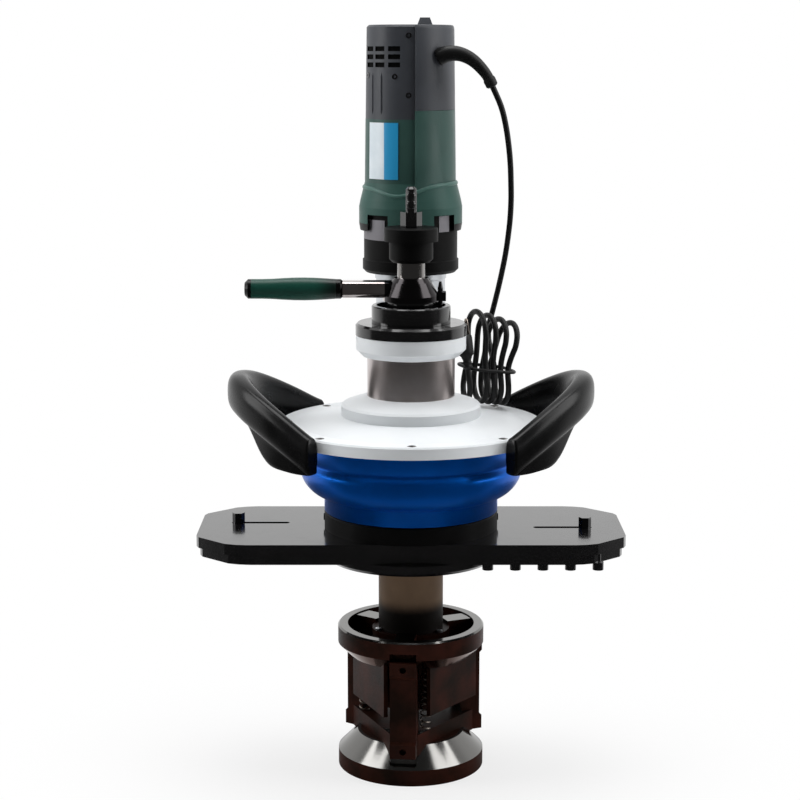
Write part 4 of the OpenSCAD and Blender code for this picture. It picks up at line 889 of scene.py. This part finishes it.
housing_mesh = nodes["gear_housing"].data.copy()
wall = bmesh.new()
wall.from_mesh(housing_mesh)
bmesh.ops.remove_doubles(wall, verts=wall.verts, dist=MERGE_DIST * MM)
for vert in wall.verts:
    if vert.co.xy.length > WALL_FROM_R * MM:
        vert.co.z = lifted(vert.co.z / MM) * MM
wall.to_mesh(housing_mesh)
wall.free()
housing_mesh.polygons.foreach_set("use_smooth", [True] * len(housing_mesh.polygons))
housing_mesh.set_sharp_from_angle(angle=SHARP)
housing = linked("housing_casting", housing_mesh)
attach(housing, "machine")
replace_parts(housing, "gear_housing")
print("housing faces", len(housing_mesh.polygons))

# %% [markdown]
# ## Motor casing
# The motor's casing is moulded in halves that meet on an upright seam, a little right of its
# middle. The left half is round. The right half stands proud of the seam and is flatter in
# front, so it takes the light as one broad plane beside a dark edge. Its section is an arc
# from the seam to the motor's right flank, whose centre follows from the angle at which it
# leaves the seam. The barrel and the right cap are walled shells with that section.

# %% Section of the casing
SEAM_X, SEAM_PROUD, SEAM_LEAN = 3.6, 2.6, math.radians(16)
CASING_R, FLANK_X = 42.8, 42.3
SEAM_EDGE, SEAM_EDGE_TURN = 0.9, math.radians(1.5)
FLANK_TURN, BACK_TURN = math.radians(95), math.radians(130)
BARREL_FOOT, LEFT_TOP, RIGHT_TOP = 528, 600, 608
BELL_TOP, BARREL_R, BARREL_DRAFT = 541, 43.3, 0.0134
CAP_R, CAP_DRAFT = 42.4, 0.0143
seam_turn = math.asin(SEAM_X / CASING_R)
lobe_r = (FLANK_X - SEAM_X) / (1 - math.sin(SEAM_LEAN))
lobe_way = Vector((-math.sin(SEAM_LEAN), math.cos(SEAM_LEAN)))
lobe_mid = Vector((SEAM_X, -CASING_R - SEAM_PROUD)) + lobe_r * lobe_way


def on_motor(radius, turn, height):
    """A point round the motor's axis. turn is the angle from the front, positive to the right."""
    return Vector((radius * math.sin(turn), MOTOR_Y - radius * math.cos(turn), height))


def casing_r(height):
    """Radius of the round half. The barrel and the cap each narrow a little upwards."""
    if height < RIGHT_TOP:
        return BARREL_R - BARREL_DRAFT * (height - BELL_TOP)
    return CAP_R - CAP_DRAFT * (height - LEFT_TOP)


def right_reach(turn, height):
    """Radius of the right half, which eases back to the round at the rear."""
    base = casing_r(height)
    along = Vector((math.sin(turn), -math.cos(turn))).dot(lobe_mid)
    reach = along + math.sqrt(along**2 - lobe_mid.length_squared + lobe_r**2)
    reach *= base / CASING_R
    reach -= SEAM_EDGE * (1 - ease((turn - seam_turn) / SEAM_EDGE_TURN))
    back = ease((turn - FLANK_TURN) / (BACK_TURN - FLANK_TURN))
    return reach * (1 - back) + base * back


RIGHT_TURNS = [seam_turn, seam_turn + SEAM_EDGE_TURN / 2]
RIGHT_TURNS += spread(seam_turn + SEAM_EDGE_TURN, math.pi - seam_turn, 60)
LEFT_TURNS = spread(math.pi - seam_turn, 2 * math.pi + seam_turn, 56)

# %% Barrel
BARREL_BORE, BARREL_STEPS = 40.2, 5
barrel_loops = []
for share in spread(0, 1, BARREL_STEPS):
    right_z, left_z = (BARREL_FOOT + share * (top - BARREL_FOOT) for top in (RIGHT_TOP, LEFT_TOP))
    loop = [on_motor(right_reach(t, right_z), t, right_z) for t in RIGHT_TURNS]
    barrel_loops.append(loop + [on_motor(casing_r(left_z), t, left_z) for t in LEFT_TURNS])
for right_z, left_z in ((RIGHT_TOP, LEFT_TOP), (BARREL_FOOT, BARREL_FOOT)):
    loop = [on_motor(BARREL_BORE, t, right_z) for t in RIGHT_TURNS]
    barrel_loops.append(loop + [on_motor(BARREL_BORE, t, left_z) for t in LEFT_TURNS])
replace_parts(worn(looped("barrel_shell", barrel_loops), "motor_green"), "motor_barrel")

# %% Right cap
CAP_FOOT, CAP_TOP, CAP_LID, CAP_BORE, CAP_WALL = 608.2, 686, 4, 38, 2.4
CAP_SIDE = [  # height, inset
    (CAP_FOOT, 0), (634, 0), (660, 0), (682, 0), (684.6, 0.5), (685.7, 1.4), (CAP_TOP, 2.6),
]
cap_loops = []
for height, inset in CAP_SIDE:
    loop = [on_motor(right_reach(t, height) - inset, t, height) for t in RIGHT_TURNS]
    cap_loops.append([Vector((max(p.x, SEAM_X), p.y, p.z)) for p in loop])
for height in (CAP_FOOT, CAP_TOP - CAP_LID):
    loop = [on_motor(CAP_BORE, t, height) for t in RIGHT_TURNS]
    cap_loops.insert(0, [Vector((max(p.x, SEAM_X + CAP_WALL), p.y, p.z)) for p in loop])
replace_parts(worn(looped("right_cap_shell", cap_loops, lid=True), "motor_grey"), "cap_right")

# %% [markdown]
# ### Bead, vents and windows
# A raised bead marks where the barrel enters the bell. It runs round level, dips in front
# beside the seam and climbs again. Its lighter green is a painted highlight along its top.
# Behind the vents is a matt black sleeve, which is painted shade inside the vents. Bare metal
# of the gear case shows in the bell's two windows. Two ribs stand on the left cap.

# %% Bead round the bell
BEAD_Z, BEAD_TILT, BEAD_DIP = 538, 2, 8
DIP_AT, DIP_WIDTH = math.radians(-15), math.radians(28)
BEAD_STEPS, BEAD_SUNK, BEAD_R = 120, 1.2, 2.3
BELL_FOOT, BELL_R, BELL_DRAFT = 525, 47.4, 4.1 / 16
bead_path = []
for turn in spread(-math.pi, math.pi, BEAD_STEPS)[:-1]:
    dip = BEAD_DIP * math.exp(-(((turn - DIP_AT) / DIP_WIDTH) ** 2))
    height = BEAD_Z + BEAD_TILT * math.sin(turn) - dip
    bell = BELL_R - (height - BELL_FOOT) * BELL_DRAFT
    if seam_turn < turn < BACK_TURN:
        bell = max(bell, right_reach(turn, height))
    bead_path.append(on_motor(bell - BEAD_SUNK, turn, height))
bead = swept("bell_bead", bead_path, [BEAD_R] * BEAD_STEPS, 12, closed=True)
# The bead's lighter green is a painted highlight along its top.
worn(bead, "motor_green", "green_abs_painted_highlight")

# %% Vent sleeve and window plates
BANDS = [
    # name, slot, finish, inner and outer radius, foot, top, first and last turn, steps
    # The sleeve's matt black is painted shade inside the vents.
    ("vent_shade_sleeve", "cord_black", "painted_shade_matt_black", 36.2, 40.4, 643, 681, -178, -2, 48),
    ("window_plate_left", "aluminium", "dull_zinc", 44.34, 44.8, 488, 507, -80, -33, 16),
    ("window_plate_right", "aluminium", "dull_zinc", 44.34, 44.8, 496, 511, 36, 53, 16),
]
for name, slot, finish, inner, outer, foot, top, first, last, steps in BANDS:
    section = ((inner, foot), (outer, foot), (outer, top), (inner, top))
    turns = [math.radians(d) for d in spread(first, last, steps)]
    band = looped(name, [[on_motor(r, t, z) for r, z in section] for t in turns], lid=True)
    worn(band, slot, finish)

# %% Ribs on the left cap
RIB_FOOT, RIB_TOP, RIB_STEPS = 603, 644, 8
RIB_R, RIB_END_R, RIB_SUNK = 1.7, 0.6, 0.8
rib_radii = [RIB_END_R] + [RIB_R] * (RIB_STEPS - 1) + [RIB_END_R]
for name, across in (("cap_rib_outer", -35), ("cap_rib_inner", -27)):
    rib_path = []
    for height in spread(RIB_FOOT, RIB_TOP, RIB_STEPS):
        radius = casing_r(max(height, RIGHT_TOP)) - RIB_SUNK
        rib_path.append(on_motor(radius, math.asin(across / radius), height))
    worn(swept(name, rib_path, rib_radii, 14), "motor_grey")

# %% [markdown]
# ## Things that repeat
# Springs, threads and screws repeat, so node trees make them. The first tree winds a wire
# into a coil and sets copies round the axis: it makes the return springs, and with a single
# tight coil the thread on the draw rod. The second tree sets a socket screw on each point of
# a small mesh and turns it to face the way that the point's attribute says. Both end in the
# same three nodes, which make real copies, give them their finish and send them out.

# %% Starting, ending and running a tree
GROWN_SHARP = math.radians(35)


def new_tree(name, **inputs):
    """A tree with one output, and the outputs of its input node. inputs lists labels by kind."""
    tree = bpy.data.node_groups.new(name, "GeometryNodeTree")
    tree.interface.new_socket("Geometry", in_out="OUTPUT", socket_type="NodeSocketGeometry")
    for kind, labels in inputs.items():
        for label in labels:
            tree.interface.new_socket(label, in_out="INPUT", socket_type="NodeSocket" + kind)
    return tree, add(tree, "NodeGroupInput").outputs


def end_tree(tree, copies, finish):
    joined = add(tree, "GeometryNodeRealizeInstances", {0: copies})
    painted = add(tree, "GeometryNodeSetMaterial", {"Geometry": joined.outputs[0], "Material": finish})
    add(tree, "NodeGroupOutput", {0: painted.outputs[0]})


def grown(name, tree, sizes, body, slot, finish=None, host_mesh=None):
    """Runs a tree with the given sizes and keeps its result as a plain mesh."""
    host = linked(name + "_host", host_mesh or bpy.data.meshes.new(name + "_host"))
    growth = host.modifiers.new("growth", "NODES")
    growth.node_group = tree
    sizes = {**sizes, "Finish": finishes[finish or SLOT_FINISH[slot]]}
    for item in tree.interface.items_tree:
        if item.item_type == "SOCKET" and item.in_out == "INPUT" and item.name in sizes:
            growth[item.identifier] = sizes[item.name]
    ready = bpy.context.evaluated_depsgraph_get()
    mesh = bpy.data.meshes.new_from_object(host.evaluated_get(ready), depsgraph=ready)
    bpy.data.objects.remove(host)
    mesh.polygons.foreach_set("use_smooth", [True] * len(mesh.polygons))
    mesh.set_sharp_from_angle(angle=GROWN_SHARP)
    made = linked(name, mesh)
    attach(made, body)
    print(name, len(mesh.polygons), "faces")
    return made


# %% Wound wire
tree, given = new_tree(
    "wound_wire",
    Int=("Copies", "Wire Sides"),
    Float=("Orbit", "Bearing", "Base", "Length", "Coil Radius", "Wire Radius", "Turns"),
    Material=("Finish",),
)
wound_wire = tree
coil = add(
    tree,
    "GeometryNodeCurveSpiral",
    {
        "Resolution": 28,
        "Rotations": given["Turns"],
        "Start Radius": given["Coil Radius"],
        "End Radius": given["Coil Radius"],
        "Height": given["Length"],
    },
)
section = {"Resolution": given["Wire Sides"], "Radius": given["Wire Radius"]}
wire = add(tree, "GeometryNodeCurvePrimitiveCircle", section)
wound = add(
    tree,
    "GeometryNodeCurveToMesh",
    {"Curve": coil.outputs[0], "Profile Curve": wire.outputs[0], "Fill Caps": True},
)
number = add(tree, "GeometryNodeInputIndex")
part = add(tree, "ShaderNodeMath", {0: number.outputs[0], 1: given["Copies"]}, operation="DIVIDE")
bearing = add(
    tree,
    "ShaderNodeMath",
    {0: part.outputs[0], 1: 2 * math.pi, 2: given["Bearing"]},
    operation="MULTIPLY_ADD",
)
spot = {"Z": given["Base"]}
for axis, wave in (("X", "COSINE"), ("Y", "SINE")):
    share = add(tree, "ShaderNodeMath", {0: bearing.outputs[0]}, operation=wave)
    reach = add(tree, "ShaderNodeMath", {0: share.outputs[0], 1: given["Orbit"]}, operation="MULTIPLY")
    spot[axis] = reach.outputs[0]
place = add(tree, "ShaderNodeCombineXYZ", spot)
posts = add(tree, "GeometryNodePoints", {"Count": given["Copies"], "Position": place.outputs[0]})
copies = add(tree, "GeometryNodeInstanceOnPoints", {"Points": posts.outputs[0], "Instance": wound.outputs[0]})
end_tree(tree, copies.outputs[0], given["Finish"])

# %% Return springs and rod thread
SPRING_WIRE, SPRING_R, SPRING_TURNS = 1.5 * MM, 4.2 * MM, 9.0
SPRING_ORBIT, JAW_BEARING, SPRING_TURN = 45 * MM, 263.5, 23.5
spring_low, spring_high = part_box("return_springs")
spring_length = spring_high.z - spring_low.z
return_coils = grown(
    "return_coils",
    wound_wire,
    {
        "Copies": 3,
        "Orbit": SPRING_ORBIT,
        "Bearing": math.radians(JAW_BEARING + SPRING_TURN),
        "Base": spring_low.z + SPRING_WIRE / 2,
        "Length": spring_length - SPRING_WIRE,
        "Coil Radius": SPRING_R,
        "Wire Radius": SPRING_WIRE / 2,
        "Turns": SPRING_TURNS,
        "Wire Sides": 10,
    },
    "mandrel",
    "ground_steel",
)
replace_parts(return_coils, "return_springs")
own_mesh(return_coils)

THREAD_LEN, THREAD_PITCH, THREAD_R = 17 * MM, 1.5 * MM, 4.85 * MM
CREST_R, ROD_TIP = 0.5 * MM, 2.6 * MM
grown(
    "rod_thread",
    wound_wire,
    {
        "Copies": 1,
        "Base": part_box("draw_rod")[1].z - ROD_TIP - THREAD_LEN,
        "Length": THREAD_LEN,
        "Coil Radius": THREAD_R,
        "Wire Radius": CREST_R,
        "Turns": THREAD_LEN / THREAD_PITCH,
        "Wire Sides": 4,
    },
    "draw_rod_body",
    "black_steel",
)

# %% Socket screws on points
tree, given = new_tree(
    "socket_screws",
    Geometry=("Points",),
    Float=("Head Radius", "Head Height", "Socket Radius"),
    Material=("Finish",),
)
socket_screws = tree
head, hexagon = (
    add(
        tree,
        "GeometryNodeMeshCylinder",
        {"Vertices": sides, "Radius": given[radius], "Depth": given["Head Height"]},
    )
    for sides, radius in ((24, "Head Radius"), (6, "Socket Radius"))
)
half_up = add(tree, "ShaderNodeMath", {0: given["Head Height"], 1: 0.5}, operation="MULTIPLY")
shift = add(tree, "ShaderNodeCombineXYZ", {"Z": half_up.outputs[0]})
raised = add(tree, "GeometryNodeTransform", {"Geometry": hexagon.outputs[0], "Translation": shift.outputs[0]})
bored = add(
    tree,
    "GeometryNodeMeshBoolean",
    {"Mesh 1": head.outputs[0], "Mesh 2": raised.outputs[0]},
    operation="DIFFERENCE",
)
way = add(tree, "GeometryNodeInputNamedAttribute", {"Name": "facing"}, data_type="FLOAT_VECTOR")
aligned = add(tree, "FunctionNodeAlignRotationToVector", {"Vector": way.outputs[0]}, axis="Z")
copies = add(
    tree,
    "GeometryNodeInstanceOnPoints",
    {"Points": given["Points"], "Instance": bored.outputs[0], "Rotation": aligned.outputs[0]},
)
end_tree(tree, copies.outputs[0], given["Finish"])
HEAD_H = 2


def screws(name, rows, head_r, socket_r, body, slot, finish=None):
    """Screws from rows of a place in millimetres and the way that the screw faces."""
    mesh = bpy.data.meshes.new("screw_points")
    mesh.from_pydata([tuple(Vector(place) * MM) for place, way in rows], [], [])
    facing = mesh.attributes.new("facing", "FLOAT_VECTOR", "POINT")
    for i, (place, way) in enumerate(rows):
        facing.data[i].vector = way
    sizes = {"Head Radius": head_r * MM, "Head Height": HEAD_H * MM, "Socket Radius": socket_r * MM}
    grown(name, socket_screws, sizes, body, slot, finish, mesh)


# %% Screws of the bowl's hub and of the motor's cap
HUB_DROP, HEAD_RISE, BOWL_ORBIT = 4, 0.9, 33
hub_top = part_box("upper_cone")[1].z / MM - HUB_DROP
bowl_rows = []
for third in range(3):
    a = math.radians(JAW_BEARING - 60 + 120 * third)
    bowl_rows.append(((BOWL_ORBIT * math.cos(a), BOWL_ORBIT * math.sin(a), hub_top + HEAD_RISE), UP))
screws("bowl_screws", bowl_rows, 2.8, 1.5, "mandrel", "ground_steel", "turned_aluminium")

CAP_TOP_R, CAP_TAPER, HEAD_SUNK = 41.2, 1.2, 0.6
cap_rows = []
for across, height in ((-39.5, 640), (-15, 639), (-2.2, 676), (-2.2, 622)):
    radius = CAP_TOP_R + CAP_TAPER * (CAP_TOP - height) / (CAP_TOP - LEFT_TOP)
    depth = math.sqrt(radius**2 - across**2)
    out = Vector((across, -depth, 0)).normalized()
    cap_rows.append((Vector((across, MOTOR_Y - depth, height)) - out * HEAD_SUNK, out))
screws("cap_screws", cap_rows, 2.6, 1.4, "machine", "black_steel")

# %% [markdown]
# ## Bringing the scene up to date
# The view layer is brought up to date once every piece is in place.

# %% Bring the view layer up to date
bpy.context.view_layer.update()
